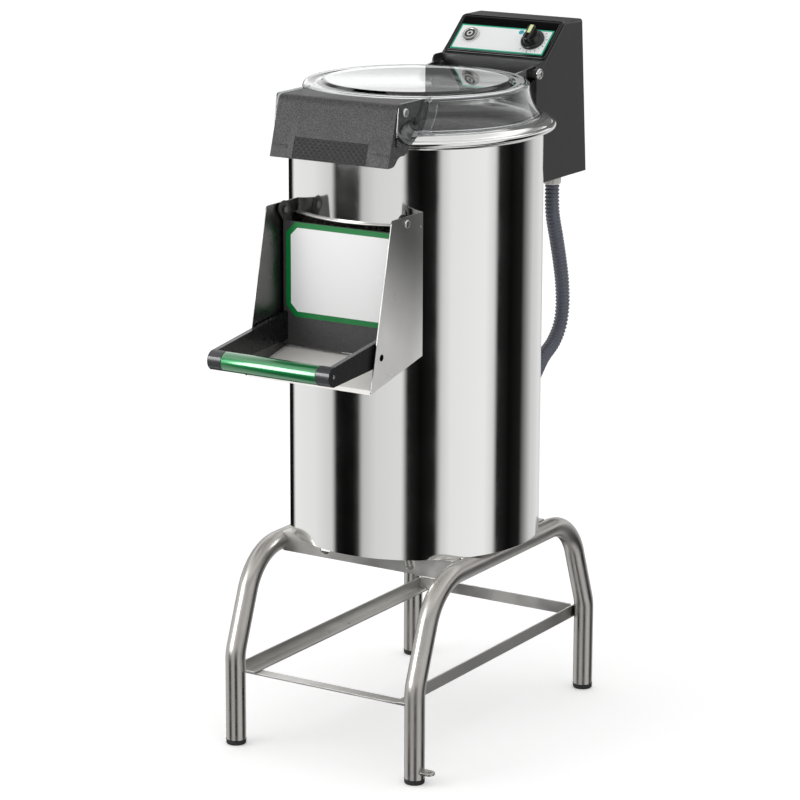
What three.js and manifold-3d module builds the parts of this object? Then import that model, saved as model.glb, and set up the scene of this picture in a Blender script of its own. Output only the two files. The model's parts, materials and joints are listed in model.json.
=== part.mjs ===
// Floor-standing electric potato peeler: drum on a bent-tube stand, clear clamped lid,
// discharge chute with a swinging door, and a control box behind the drum.
// Millimetres, +Z up, front towards -Y. The origin is on the floor, in the middle of the whole machine.
import * as THREE from "three";
import { mergeVertices, toCreasedNormals } from "three/addons/utils/BufferGeometryUtils.js";
import Module from "manifold-3d";

const wasm = await Module();
wasm.setup();

// Clearances

const seat = 0.3; // left between two pieces that rest on each other
const overrun = 3; // how far a cutter runs past the face that it cuts
const weld = 0.5; // how far two shapes of one piece run into each other

// Facet counts of round pieces

// Largest angle in degrees between two facets that shade as one surface.
const crease = 30;
const sides = { drum: 36, lid: 30, medium: 16, small: 12, tiny: 8 };

// Driving sizes

const stand = {
  height: 322, // floor to the top of the tubes
  halfSpacing: 167, // from the middle to the centre of a left or right tube
  halfReach: 268, // from the drum's axis to the centre of a front or rear leg
  tubeRadius: 16,
  tubeWall: 1.5,
  leanDegrees: 20.5, // of a leg between its two bends
  kneeRadius: 92, // upper bend, on the tube's centre line
  ankleRadius: 60, // lower bend
  ankleHeight: 140, // where a leg turns upright
};
const foot = { height: 8, chamfer: 1.5, plugLength: 20 };
const beam = { offset: 143, thickness: 2.5, flange: 24, holeRadius: 10.5, holeOffset: 79, endShare: 0.5 };
const shelf = {
  height: 122, // floor to the underside of the side angles
  leg: 20,
  thickness: 3,
  rearInset: 9, // rear bar, in from the rear legs' centres
  holeRadius: 3.5,
  holeSpacing: 60,
  holeShift: -9, // middle of the two holes, from the drum's axis
  frontInset: 4,
};
const lug = { height: 18, thickness: 4, reach: 21, width: 20, holeRadius: 4 };

const drum = { radius: 200, wall: 1.5, height: 655 };
const collar = {
  rise: 14, // from the shell's top edge to the lid's seat
  skirt: 11, // below the shell's top edge
  sheet: 2,
  beadRadius: 5,
  flare: 19, // how far the rim stands out from the shell
  seatRadius: 199,
  mouthRadius: 187,
};
const liner = { thickness: 3.5, top: 12, floorGap: 3 };
const discLevel = { aboveShellFoot: 338 }; // shell foot to the top of the peeling disc
const disc = {
  radius: 188,
  thickness: 8,
  rim: 5,
  waveLength: 74,
  waveWidth: 22,
  waveHeight: 9,
  wavePlace: 98,
  waves: 3,
  hubRadius: 28,
  hubLength: 12,
  paddleLength: 90,
  paddleWidth: 10,
  paddleDrop: 10,
};
const chamberFloor = { thickness: 2, drop: 32, rim: 14, mouthRadius: 27 };
const housing = { flangeRadius: 55, flange: 8, bodyRadius: 32, length: 74, shoulderRadius: 19 };
const bearing = { radius: 23.5, width: 12 };
const seal = { width: 5 };
const shaft = { radius: 12.4, nutRadius: 15, nutHeight: 9, washerRadius: 20, washer: 3, below: 6 };
const pulley = {
  radius: 90,
  width: 18,
  groove: 8,
  flangeWidth: 3,
  web: 6,
  hubRadius: 24,
  holeRadius: 19,
  holes: 4,
};
const motor = {
  offset: 135, // behind the drum's axis
  radius: 56,
  length: 168,
  shield: 12,
  finDepth: 4,
  finWidth: 3.5,
  fins: 8,
  rotorRadius: 31,
  rotorGap: 1,
  shaftRadius: 9,
  pulleyRadius: 30,
  spigotRadius: 30,
  spigot: 6,
  fanRadius: 44,
  fanWidth: 14,
  fanBlades: 6,
  bladeThickness: 3,
  cowlWall: 2,
};
const motorPlate = { thickness: 6, margin: 12, postRadius: 6, postBack: 22, postFront: 55 };
const belt = { thickness: 8 };
const cover = { thickness: 1.5, slots: 12, slotInner: 55, slotOuter: 100, slotWidth: 8 };
const drain = { radius: 25, wall: 2, x: -110, y: -90, flange: 5, flangeThickness: 2, below: 22 };
const inlet = { x: -130, down: 62, radius: 10, bore: 7, length: 32, inside: 8, nutRadius: 15, nut: 8 };

const windowCut = { halfWidth: 98, sillAboveDisc: 8, height: 181, corner: 14 };
const lip = { thickness: 3, reach: 6 };
const chute = {
  halfWidth: 114, // to the outer face of a side plate
  sheet: 2,
  topRise: 23, // top edge above the window's top
  topDepth: 52, // top front corner in front of the drum
  footDepth: 111, // lower front corner in front of the drum
  footDrop: 43, // lower front corner below the disc's top
  heelDrop: 11, // lower rear corner below the disc's top
  fold: 10,
  holeRadius: 5.5,
  holeBack: 30,
  holeUp: 51,
  corner: 6,
};
const door = {
  standoff: 12, // outer face in front of the drum
  thickness: 3,
  sideGap: 3, // to each chute plate
  pivotDown: 11, // pivot below the plates' top edge
  pivotInset: 40, // pivot behind the plates' top front corner
  topGap: 5, // panel top below the window's top
  bottomDrop: 11, // panel bottom below the disc's top
  returnDepth: 20,
  earRadius: 14,
  pinRadius: 3.5,
  headRadius: 6.5,
  headHeight: 3,
};
const label = { halfWidth: 103, thickness: 0.6, bottomUp: 46, topDown: 0.5, chamfer: 17 };
const handle = {
  reach: 203, // tube centre in front of the drum
  drop: 2, // tube centre above the disc's top
  radius: 15,
  armThickness: 8,
  armTop: 40, // above the tube centre, at the door
  armBottom: 4, // below the tube centre, at the door
  collarLength: 24,
  collarRadius: 15.6,
  spigotRadius: 11,
  screwRadius: 5,
  screwDepth: 3,
  detentRadius: 4,
};

const lid = {
  height: 55,
  baseRadius: 197,
  baseFlange: 3,
  skirtFootRadius: 193,
  skirtTopRadius: 178,
  shoulderHeight: 43,
  shoulderRadius: 9,
  ringRadius: 148,
  ringStep: 4,
  ringDip: 2.5,
  wall: 4,
};
const hinge = {
  back: 15.5, // pin behind the drum's surface
  down: 12, // pin below the lid's top
  pinRadius: 5,
  eyeRadius: 11,
  armThickness: 4,
  armInset: 10, // outer face of an arm inside the box's outer face
  armRoot: 60,
  armRootHeight: 34,
  washerRadius: 8,
  washer: 2.5,
  cupRadius: 8.5,
  cup: 2,
  headRadius: 5,
  head: 2,
};
const bracket = {
  sheet: 2,
  gap: 2, // between a plate and the hood's side
  topFront: 27, // top front corner in front of the drum
  footFront: 35,
  topDown: 3, // below the lid's top
  footDown: 68,
  corner: 7,
  rear: -64, // rear end, in front of the drum
  tabWidth: 9,
};
const latch = {
  halfWidth: 106,
  wall: 3,
  pivotFront: 10.5,
  pivotDown: 17.5,
  topFront: 25, // upper front edge in front of the drum
  faceFront: 52, // lower front edge in front of the drum
  topDown: 5,
  footDown: 97, // lower edge below the lid's top
  topRadius: 10,
  lipDepth: 17,
  hookUp: 13,
  hookFall: 2.2,
  hookRun: 31,
  lidGap: 7,
  rimGap: 1.5,
  sideRise: 28,
  catchWidth: 26,
  catchHeight: 6,
  gripHalfWidth: 66,
  gripHeight: 34,
  gripDepth: 0.8,
  screwRadius: 4,
  headRadius: 6.5,
  headHeight: 3,
};

const box = {
  halfWidth: 98,
  sheet: 2,
  bottomDown: 190.7, // below the lid's top
  cheekBack: 7, // front edge of the cheeks behind the drum
  wallBack: 31, // front wall behind the drum
  earRadius: 11,
  panelFootUp: 6, // panel's lower edge above the lid's top
  panelFootBack: 38,
  panelRise: 56,
  panelRun: 66,
  topDepth: 51,
  rearSlant: 20,
};
const mountBlock = { halfWidth: 45, height: 60, down: 60, sheet: 3 };
const bezel = {
  halfWidth: 95,
  halfHeight: 41.5,
  sideBand: 8,
  topBand: 22,
  bottomBand: 7,
  proud: 3.5,
  recess: 1.5,
};
const plate = { thickness: 1.2 };
const button = {
  x: -60,
  v: -4,
  collarRadius: 15,
  collarHeight: 5,
  capRadius: 10,
  capHeight: 6.5,
  barrelRadius: 11.5,
  barrelLength: 22,
  stemRadius: 5,
  travel: 3,
};
const knob = {
  x: 57,
  v: -5,
  skirtRadius: 20,
  skirtHeight: 5,
  bodyRadius: 14,
  height: 21,
  barWidth: 11,
  barLength: 33,
  pointerWidth: 5,
  stemRadius: 3,
  stemLength: 16,
  lift: 1,
};
const timer = { halfSize: 22, depth: 28, boss: 5, bossRadius: 7 };
const conduit = {
  radius: 12,
  bore: 8.5,
  ribHeight: 1.6,
  pitch: 6.2,
  points: 8,
  x: 60,
  entry: 56,
  entryDown: 152,
  bulge: 41,
};
// How far back (of the bulge) and how far down (of the drop) the conduit's free part passes.
const routeShares = [
  [0.07, 0.09],
  [0.41, 0.23],
  [0.73, 0.37],
  [0.95, 0.5],
  [1, 0.63],
  [0.8, 0.73],
  [0.27, 0.81],
  [-0.54, 0.87],
];
const gland = {
  radius: 14.5,
  length: 20,
  nutRadius: 15.5,
  nutHeight: 7,
  neckRadius: 10.5,
  neckLength: 10,
  inFromRear: 44,
};
const mainsGland = {
  x: -60,
  radius: 11,
  length: 22,
  bore: 4.5,
  neckRadius: 8,
  neckLength: 9,
  nutRadius: 12.5,
  nutHeight: 6,
};
const lidSensor = { x: -62, width: 26, height: 14, depth: 10, down: 20 };

// Levels and places worked out from the driving sizes

const tubeLevel = stand.height - stand.tubeRadius;
const shellFoot = stand.height + seat;
const shellTop = shellFoot + drum.height;
const seatLevel = shellTop + collar.rise;
const lidFoot = seatLevel + seat;
const lidTop = lidFoot + lid.height;
const discTop = shellFoot + discLevel.aboveShellFoot;
const rimRadius = drum.radius + collar.flare;
const innerRadius = drum.radius - drum.wall;
const floorLevel = discTop - chamberFloor.drop;
const sill = discTop + windowCut.sillAboveDisc;
const windowTop = sill + windowCut.height;
const hingeY = drum.radius + hinge.back;
const hingeZ = lidTop - hinge.down;
const boxBottom = lidTop - box.bottomDown;
const panelFoot = { y: drum.radius + box.panelFootBack, z: lidTop + box.panelFootUp };
const panelHead = { y: panelFoot.y + box.panelRun, z: panelFoot.z + box.panelRise };
const boxRear = panelHead.y + box.topDepth + box.rearSlant;
const handleY = -(drum.radius + handle.reach);
const handleZ = discTop + handle.drop;
const chutePlateTop = windowTop + chute.topRise;
const pivotY = -(drum.radius + chute.topDepth - door.pivotInset);
const pivotZ = chutePlateTop - door.pivotDown;
const latchY = -(drum.radius + latch.pivotFront);
const latchZ = lidTop - latch.pivotDown;
const topGlandY = boxRear - gland.inFromRear;

// Shape helpers

const radians = THREE.MathUtils.degToRad;

function flipped(triangles) {
  const turned = new Uint32Array(triangles.length);
  for (let i = 0; i < triangles.length; i += 3) {
    turned.set([triangles[i], triangles[i + 2], triangles[i + 1]], i);
  }
  return turned;
}

// A closed geometry as a solid that can be joined and cut.
function solid(geometry) {
  const bare = geometry.index ? geometry.toNonIndexed() : geometry.clone();
  bare.deleteAttribute("normal");
  bare.deleteAttribute("uv");
  const merged = mergeVertices(bare);
  const { array } = merged.index;
  const kept = [];
  for (let i = 0; i < array.length; i += 3) {
    const [a, b, c] = array.slice(i, i + 3);
    if (a !== b && b !== c && c !== a) kept.push(a, b, c);
  }
  const triangles = Uint32Array.from(kept);
  const made = (triVerts) =>
    new wasm.Manifold(
      new wasm.Mesh({ numProp: 3, vertProperties: merged.attributes.position.array, triVerts }),
    );
  const first = made(triangles);
  return first.volume() < 0 ? made(flipped(triangles)) : first;
}

const join = (...solids) => solids.reduce((a, b) => a.add(b));
const cut = (body, ...cutters) => cutters.reduce((a, b) => a.subtract(b), body);
const common = (a, b) => a.intersect(b);

function block(x0, x1, y0, y1, z0, z1) {
  const g = new THREE.BoxGeometry(x1 - x0, y1 - y0, z1 - z0);
  return solid(g.translate((x0 + x1) / 2, (y0 + y1) / 2, (z0 + z1) / 2));
}

// A round bar along an axis, from one place on it to another, centred on the two other coordinates.
function rod(axis, radius, from, to, at, count = sides.small, endRadius = radius) {
  const g = new THREE.CylinderGeometry(endRadius, radius, to - from, count);
  g.translate(0, (from + to) / 2, 0);
  if (axis === "x") return solid(g.rotateZ(-Math.PI / 2).translate(0, at[0], at[1]));
  if (axis === "y") return solid(g.translate(at[0], 0, at[1]));
  return solid(g.rotateX(Math.PI / 2).translate(at[0], at[1], 0));
}

// The radius of a hole's corners that leaves a pin of this radius free to turn in it.
const running = (radius, count = sides.tiny) => (radius + seat) / Math.cos(Math.PI / count);

// A profile of [radius, height] points turned about the upright line through (x, y).
function revolve(points, count = sides.drum, x = 0, y = 0) {
  const onAxis = points[0][0] === 0 && points.at(-1)[0] === 0;
  const closed = onAxis ? points : [...points, points[0]];
  const g = new THREE.LatheGeometry(closed.map(([r, z]) => new THREE.Vector2(r, z)), count);
  return solid(g.rotateX(Math.PI / 2).translate(x, y, 0));
}

function outline(points) {
  if (points instanceof THREE.Shape) return points;
  return new THREE.Shape(points.map(([a, b]) => new THREE.Vector2(a, b)));
}

function extruded(points, depth, curveSegments) {
  return new THREE.ExtrudeGeometry(outline(points), { depth, bevelEnabled: false, curveSegments });
}

const axes = {
  x: new THREE.Vector3(1, 0, 0),
  y: new THREE.Vector3(0, 1, 0),
  z: new THREE.Vector3(0, 0, 1),
};

// A (y, z) outline carried along X.
function prismX(points, x0, x1, curveSegments = 6) {
  const basis = new THREE.Matrix4().makeBasis(axes.y, axes.z, axes.x);
  return solid(extruded(points, x1 - x0, curveSegments).applyMatrix4(basis).translate(x0, 0, 0));
}

// An (x, z) outline carried along Y.
function prismY(points, y0, y1, curveSegments = 6) {
  const basis = new THREE.Matrix4().makeBasis(axes.x, axes.z, axes.y.clone().negate());
  return solid(extruded(points, y1 - y0, curveSegments).applyMatrix4(basis).translate(0, y1, 0));
}

// An (x, y) outline carried along Z.
function prismZ(points, z0, z1, curveSegments = 6) {
  return solid(extruded(points, z1 - z0, curveSegments).translate(0, 0, z0));
}

function roundedRectangle(x0, x1, y0, y1, r) {
  const s = new THREE.Shape();
  s.moveTo(x0 + r, y0);
  s.lineTo(x1 - r, y0);
  s.absarc(x1 - r, y0 + r, r, -Math.PI / 2, 0);
  s.lineTo(x1, y1 - r);
  s.absarc(x1 - r, y1 - r, r, 0, Math.PI / 2);
  s.lineTo(x0 + r, y1);
  s.absarc(x0 + r, y1 - r, r, Math.PI / 2, Math.PI);
  s.lineTo(x0, y0 + r);
  s.absarc(x0 + r, y0 + r, r, Math.PI, 1.5 * Math.PI);
  return s;
}

// An outline through the corners, each rounded by its own radius.
function roundedOutline(corners) {
  const s = new THREE.Shape();
  const n = corners.length;
  const v = ([a, b]) => new THREE.Vector2(a, b);
  corners.forEach(([a, b, r = 0], i) => {
    const here = v([a, b]);
    const before = v(corners[(i + n - 1) % n]).sub(here).normalize().multiplyScalar(r).add(here);
    const after = v(corners[(i + 1) % n]).sub(here).normalize().multiplyScalar(r).add(here);
    if (i === 0) s.moveTo(before.x, before.y);
    else s.lineTo(before.x, before.y);
    if (r > 0) s.quadraticCurveTo(here.x, here.y, after.x, after.y);
  });
  return s;
}

// Points along an arc, from one angle to another, in degrees.
function arc(x, y, r, from, to, steps) {
  return Array.from({ length: steps + 1 }, (_, i) => {
    const t = radians(from + ((to - from) * i) / steps);
    return [x + r * Math.cos(t), y + r * Math.sin(t)];
  });
}

function mirrored(body) {
  return body.mirror([1, 0, 0]);
}

const group = new THREE.Group();
group.name = "potato_peeler";
const machine = new THREE.Group();
group.add(machine);

function add(name, body, material) {
  const m = body.getMesh();
  const g = new THREE.BufferGeometry();
  g.setAttribute("position", new THREE.BufferAttribute(Float32Array.from(m.vertProperties), 3));
  g.setIndex(new THREE.BufferAttribute(Uint32Array.from(m.triVerts), 1));
  const mesh = new THREE.Mesh(toCreasedNormals(g, radians(crease)), material);
  mesh.name = name;
  machine.add(mesh);
  return mesh;
}

// Materials

const finish = (color, roughness, metalness, extra = {}) =>
  new THREE.MeshStandardMaterial({ color, roughness, metalness, ...extra });
const stainless = finish(0xc9c9c7, 0.22, 1);
const brushed = finish(0xa9a8a4, 0.4, 1);
const tubeSteel = finish(0x9a9792, 0.35, 1);
const blackPlastic = finish(0x17181a, 0.5, 0);
const greyPlastic = finish(0x55575a, 0.6, 0);
const boxPaint = finish(0x36373a, 0.6, 0);
const clearPlastic = finish(0xe8ecee, 0.08, 0, { transparent: true, opacity: 0.35 });
const greenMetal = finish(0x1f8a52, 0.3, 0.6);
const whiteFilm = finish(0xf2f2f2, 0.5, 0);
const abrasive = finish(0x3b3a38, 0.95, 0);
const castMetal = finish(0x8d8f91, 0.55, 0.8);
const rubber = finish(0x141414, 0.9, 0);
const conduitPlastic = finish(0x4a4d57, 0.5, 0);
const glandPlastic = finish(0x8c8a86, 0.6, 0);
const motorPaint = finish(0x5d6670, 0.6, 0.3);

// Stand

// The centre line of a bent tube in its own upright plane:
// up the front leg, over the top and down the rear leg.
// Each station is a point and a direction; bends have several, straight runs only their ends.
class BentTubePath extends THREE.Curve {
  constructor(x, bottom) {
    super();
    const lean = radians(stand.leanDegrees);
    const { halfReach: reach, ankleRadius, kneeRadius, ankleHeight } = stand;
    const anklePoint = (t) => [
      -reach + ankleRadius * (1 - Math.cos(t)),
      ankleHeight + ankleRadius * Math.sin(t),
    ];
    const risen = ankleHeight + ankleRadius * Math.sin(lean) + kneeRadius * (1 - Math.sin(lean));
    const straight = (tubeLevel - risen) / Math.cos(lean);
    const [ankleY, ankleZ] = anklePoint(lean);
    const kneeY = ankleY + straight * Math.sin(lean);
    const kneeZ = ankleZ + straight * Math.cos(lean);
    const kneePoint = (t) => [
      kneeY + kneeRadius * (Math.cos(lean) - Math.cos(t)),
      kneeZ + kneeRadius * (Math.sin(t) - Math.sin(lean)),
    ];
    const bend = (point, from, to, steps) =>
      Array.from({ length: steps + 1 }, (_, i) => {
        const t = from + ((to - from) * i) / steps;
        return { at: point(t), turn: t };
      });
    const half = [
      { at: [-reach, bottom], turn: 0 },
      ...bend(anklePoint, 0, lean, 1),
      ...bend(kneePoint, lean, Math.PI / 2, 5),
    ];
    const other = half.map(({ at: [y, z], turn }) => ({ at: [-y, z], turn: Math.PI - turn })).reverse();
    this.x = x;
    this.stations = [...half, ...other];
  }
  get steps() {
    return this.stations.length - 1;
  }
  station(u) {
    return this.stations[Math.round(u * this.steps)];
  }
  getPointAt(u, target = new THREE.Vector3()) {
    const { at } = this.station(u);
    return target.set(this.x, at[0], at[1]);
  }
  getTangentAt(u, target = new THREE.Vector3()) {
    const { turn } = this.station(u);
    return target.set(0, Math.sin(turn), Math.cos(turn));
  }
}

function bentTube(x, radius, bottom, count = sides.small) {
  const path = new BentTubePath(x, bottom);
  const ring = new THREE.Shape().absarc(0, 0, radius, 0, 2 * Math.PI);
  const section = new THREE.Shape(ring.getSpacedPoints(count).slice(0, count));
  return solid(
    new THREE.ExtrudeGeometry(section, { steps: path.steps, extrudePath: path, bevelEnabled: false }),
  );
}

function standTube(x) {
  const bottom = foot.height + seat;
  const outer = bentTube(x, stand.tubeRadius, bottom);
  const bore = bentTube(x, stand.tubeRadius - stand.tubeWall, bottom - overrun, sides.small / 2);
  return cut(outer, bore);
}

// The drilled tab welded to the outside of the front right leg.
function floorLug() {
  const root = stand.halfSpacing + stand.tubeRadius - stand.tubeWall;
  const end = root + lug.reach;
  const y = -stand.halfReach;
  const half = lug.width / 2;
  const shape = new THREE.Shape();
  shape.moveTo(root, y - half);
  shape.lineTo(end - half, y - half);
  shape.absarc(end - half, y, half, -Math.PI / 2, Math.PI / 2);
  shape.lineTo(root, y + half);
  const hole = rod(
    "z", lug.holeRadius, lug.height - overrun, lug.height + lug.thickness + overrun, [end - half, y],
  );
  const tab = cut(prismZ(shape, lug.height, lug.height + lug.thickness), hole);
  const bore = rod(
    "z", stand.tubeRadius - stand.tubeWall / 2, 0, stand.ankleHeight, [stand.halfSpacing, y],
  );
  return cut(tab, bore);
}

add("stand_tube_left", standTube(-stand.halfSpacing), tubeSteel);
add("stand_tube_right", join(standTube(stand.halfSpacing), floorLug()), tubeSteel);

function footCap(x, y) {
  const r = stand.tubeRadius;
  const plug = (stand.tubeRadius - stand.tubeWall) * Math.cos((2 * Math.PI) / sides.small) - seat;
  const profile = [
    [0, 0],
    [r - foot.chamfer, 0],
    [r, foot.chamfer],
    [r, foot.height],
    [plug, foot.height],
    [plug, foot.height + foot.plugLength],
    [0, foot.height + foot.plugLength],
  ];
  return revolve(profile, sides.small, x, y);
}

for (const [row, y] of [["front", -stand.halfReach], ["rear", stand.halfReach]])
  for (const [side, x] of [["left", -stand.halfSpacing], ["right", stand.halfSpacing]])
    add(`foot_${row}_${side}`, footCap(x, y), blackPlastic);

// A channel between the two tubes, its web facing outwards, its ends coped round the tubes.
function crossBeam(facing) {
  const { offset, thickness: t, flange } = beam;
  const top = stand.height;
  const bottom = top - 2 * stand.tubeRadius;
  const channel = [
    [offset, bottom],
    [offset, top],
    [offset - flange, top],
    [offset - flange, top - t],
    [offset - t, top - t],
    [offset - t, bottom + t],
    [offset - flange, bottom + t],
    [offset - flange, bottom],
  ].map(([y, z]) => [facing * y, z]);
  const end = stand.halfSpacing - stand.tubeRadius * beam.endShare;
  const holes = [-beam.holeOffset, beam.holeOffset].map((x) =>
    rod("y", beam.holeRadius, -offset - overrun, offset + overrun, [x, tubeLevel]),
  );
  const tubes = [-stand.halfSpacing, stand.halfSpacing].map((x) =>
    bentTube(x, stand.tubeRadius + seat, foot.height),
  );
  return cut(prismX(channel, -end, end), ...holes, ...tubes);
}

add("stand_beam_front", crossBeam(-1), brushed);
add("stand_beam_rear", crossBeam(1), brushed);

// An angle along Y inside a pair of legs: upright leg outside, flat leg inwards at the bottom.
const railFace = stand.halfSpacing - stand.tubeRadius - seat;

function sideAngle(drilled) {
  const { height: z, leg, thickness: t } = shelf;
  const angle = [
    [-railFace, z],
    [-railFace + leg, z],
    [-railFace + leg, z + t],
    [-railFace + t, z + t],
    [-railFace + t, z + leg],
    [-railFace, z + leg],
  ];
  const body = prismY(angle, -stand.halfReach, stand.halfReach);
  if (!drilled) return body;
  const holes = [-shelf.holeSpacing / 2, shelf.holeSpacing / 2].map((y) =>
    rod(
      "z",
      shelf.holeRadius,
      z - overrun,
      z + t + overrun,
      [-railFace + leg / 2, y + shelf.holeShift],
      sides.tiny,
    ),
  );
  return cut(body, ...holes);
}

// A flat bar on edge between the upright legs of the side angles, where the tray stops.
function rearBar() {
  const { leg, thickness: t } = shelf;
  const z = shelf.height + t + seat;
  const face = stand.halfReach - shelf.rearInset;
  const end = railFace - t - seat;
  return block(-end, end, face - t, face, z, z + leg);
}

function frontBar() {
  const z = shelf.height - seat - shelf.thickness;
  const y = -stand.halfReach + shelf.frontInset;
  return block(-railFace, railFace, y, y + shelf.leg, z, z + shelf.thickness);
}

add("shelf_angle_left", sideAngle(true), brushed);
add("shelf_angle_right", mirrored(sideAngle(false)), brushed);
add("shelf_bar_rear", rearBar(), brushed);
add("shelf_bar_front", frontBar(), brushed);

// Drum

// The discharge window, cut through the front wall as a rounded rectangle.
function windowCutter(grow = 0) {
  const { halfWidth: w, corner } = windowCut;
  const shape = roundedRectangle(-w - grow, w + grow, sill - grow, windowTop + grow, corner);
  return prismY(shape, -drum.radius - overrun, 0);
}

// The water stub's hole through the rear wall.
function inletHole() {
  return rod("y", inlet.radius + seat, 0, drum.radius + overrun, [inlet.x, shellTop - inlet.down]);
}

const glandAngle = Math.asin(conduit.entry / drum.radius);
const glandLevel = discTop - conduit.entryDown;

// A tool for pieces that point straight out of the drum at the conduit's lower gland.
function outOfDrum(body) {
  return body.rotate([0, 0, -THREE.MathUtils.radToDeg(glandAngle)]);
}

function drumShell() {
  const { radius } = drum;
  const ring = revolve([
    [innerRadius, shellFoot],
    [radius, shellFoot],
    [radius, shellTop],
    [innerRadius, shellTop],
  ]);
  const glandHole = outOfDrum(
    rod(
      "y",
      gland.neckRadius + seat,
      innerRadius - overrun,
      radius + overrun,
      [0, glandLevel],
      sides.small,
    ),
  );
  const strip = revolve([
    [radius - drum.wall / 2, windowTop],
    [radius + lip.reach - lip.thickness / 2, windowTop],
    [radius + lip.reach, windowTop + lip.thickness / 2],
    [radius + lip.reach - lip.thickness / 2, windowTop + lip.thickness],
    [radius - drum.wall / 2, windowTop + lip.thickness],
  ]);
  const reach = chute.halfWidth - chute.sheet - seat;
  const front = block(
    -reach,
    reach,
    -radius - lip.reach - overrun,
    0,
    windowTop - overrun,
    windowTop + 2 * lip.thickness,
  );
  return join(cut(ring, windowCutter(), glandHole, inletHole()), common(strip, front));
}

add("drum_shell", drumShell(), stainless);

// The outer surface of the spun collar, from the shell's wall out round the bead and up to the lid's seat.
function collarSurface() {
  const beadY = shellTop;
  const beadX = rimRadius - collar.beadRadius;
  const wall = drum.radius + seat + collar.sheet;
  return [
    [wall, shellTop - collar.skirt],
    [wall + collar.sheet, shellTop - collar.skirt + collar.sheet],
    ...arc(beadX, beadY, collar.beadRadius, -70, 80, 3),
    [(beadX + collar.seatRadius) / 2, (beadY + collar.beadRadius + seatLevel) / 2 + collar.sheet],
    [collar.seatRadius, seatLevel],
  ];
}

function drumCollar() {
  const { mouthRadius: mouth, sheet } = collar;
  return revolve([
    [drum.radius + seat, shellTop - collar.skirt],
    ...collarSurface(),
    [mouth, seatLevel],
    [mouth, shellTop - collar.skirt],
    [mouth + sheet, shellTop - collar.skirt],
    [mouth + sheet, shellTop + seat],
    [drum.radius + seat, shellTop + seat],
  ]);
}

// The space inside the collar's outer surface, with a clearance, as a cutter for the pieces round it.
function collarSpace(gap) {
  const surface = collarSurface().map(([r, z]) => [r + gap, z]);
  return revolve([
    [0, shellTop - collar.skirt - gap],
    [surface[0][0], shellTop - collar.skirt - gap],
    ...surface,
    [collar.seatRadius + gap, seatLevel + gap],
    [0, seatLevel + gap],
  ]);
}

add("drum_collar", drumCollar(), stainless);

function abrasiveLiner() {
  const outer = innerRadius - seat;
  const bottom = discTop - disc.thickness - liner.floorGap;
  const top = shellTop - collar.skirt - liner.top;
  const ring = revolve([
    [outer - liner.thickness, bottom],
    [outer, bottom],
    [outer, top],
    [outer - liner.thickness, top],
  ]);
  return cut(ring, windowCutter(seat), inletHole());
}

add("abrasive_liner", abrasiveLiner(), abrasive);

function drainCutter(radius) {
  return rod("z", radius, 0, seatLevel, [drain.x, drain.y], sides.small);
}

function chamberFloorPan() {
  const r = innerRadius - seat;
  const t = chamberFloor.thickness;
  const pan = revolve([
    [chamberFloor.mouthRadius, floorLevel],
    [r, floorLevel],
    [r, floorLevel + chamberFloor.rim],
    [r - t, floorLevel + chamberFloor.rim],
    [r - t, floorLevel + t],
    [chamberFloor.mouthRadius, floorLevel + t],
  ]);
  return cut(pan, drainCutter(drain.radius - drain.wall));
}

add("chamber_floor", chamberFloorPan(), brushed);

// Drive

const housingTop = floorLevel - seat;
const housingFoot = housingTop - housing.length;
const bearingSeat = bearing.radius + seat;

function bearingHousing() {
  const { flangeRadius, flange, bodyRadius, shoulderRadius } = housing;
  const upper = housingTop - seal.width - 2 * seat - bearing.width;
  const lower = housingFoot + bearing.width + seat;
  return revolve(
    [
      [bodyRadius, housingFoot],
      [bodyRadius, housingTop - 2 * flange],
      [bodyRadius + flange, housingTop - flange],
      [flangeRadius, housingTop - flange],
      [flangeRadius, housingTop],
      [bearingSeat, housingTop],
      [bearingSeat, upper],
      [shoulderRadius, upper],
      [shoulderRadius, lower],
      [bearingSeat, lower],
      [bearingSeat, housingFoot],
    ],
    sides.medium,
  );
}

function ringAt(outer, inner, bottom, height, count = sides.medium) {
  return revolve(
    [
      [inner, bottom],
      [outer, bottom],
      [outer, bottom + height],
      [inner, bottom + height],
    ],
    count,
  );
}

const shaftBore = shaft.radius + seat;
add("bearing_housing", bearingHousing(), castMetal);
add(
  "bearing_upper",
  ringAt(bearing.radius, shaftBore, housingTop - seal.width - seat - bearing.width, bearing.width),
  stainless,
);
add("bearing_lower", ringAt(bearing.radius, shaftBore, housingFoot, bearing.width), stainless);
add("shaft_seal", ringAt(bearing.radius, shaftBore, housingTop - seal.width, seal.width), rubber);

const pulleyTop = housingFoot - pulley.flangeWidth - seat;
const pulleyFoot = pulleyTop - pulley.width;

function groovedPulley(radius, hubRadius, bore, x, y, count) {
  const { flangeWidth: f, groove } = pulley;
  return revolve(
    [
      [bore, pulleyFoot],
      [radius, pulleyFoot],
      [radius, pulleyFoot + f],
      [radius - groove, pulleyFoot + 2 * f],
      [radius - groove, pulleyTop - 2 * f],
      [radius, pulleyTop - f],
      [radius, pulleyTop],
      [bore, pulleyTop],
    ],
    count,
    x,
    y,
  );
}

// The large pulley is dished on both faces between hub and rim, and its web has round lightening holes.
function drivenPulley() {
  const full = groovedPulley(pulley.radius, pulley.hubRadius, shaftBore, 0, 0, sides.lid);
  const rim = pulley.radius - 2 * pulley.groove;
  const dish = (pulley.width - pulley.web) / 2;
  const dishes = [pulleyFoot - overrun, pulleyTop - dish].map((z) =>
    ringAt(rim, pulley.hubRadius, z, dish + overrun),
  );
  const place = (pulley.hubRadius + rim) / 2;
  const holes = Array.from({ length: pulley.holes }, (_, i) => {
    const t = (2 * Math.PI * i) / pulley.holes;
    const at = [place * Math.cos(t), place * Math.sin(t)];
    return rod("z", pulley.holeRadius, pulleyFoot, pulleyTop, at, sides.tiny);
  });
  return cut(full, ...dishes, ...holes);
}

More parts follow.
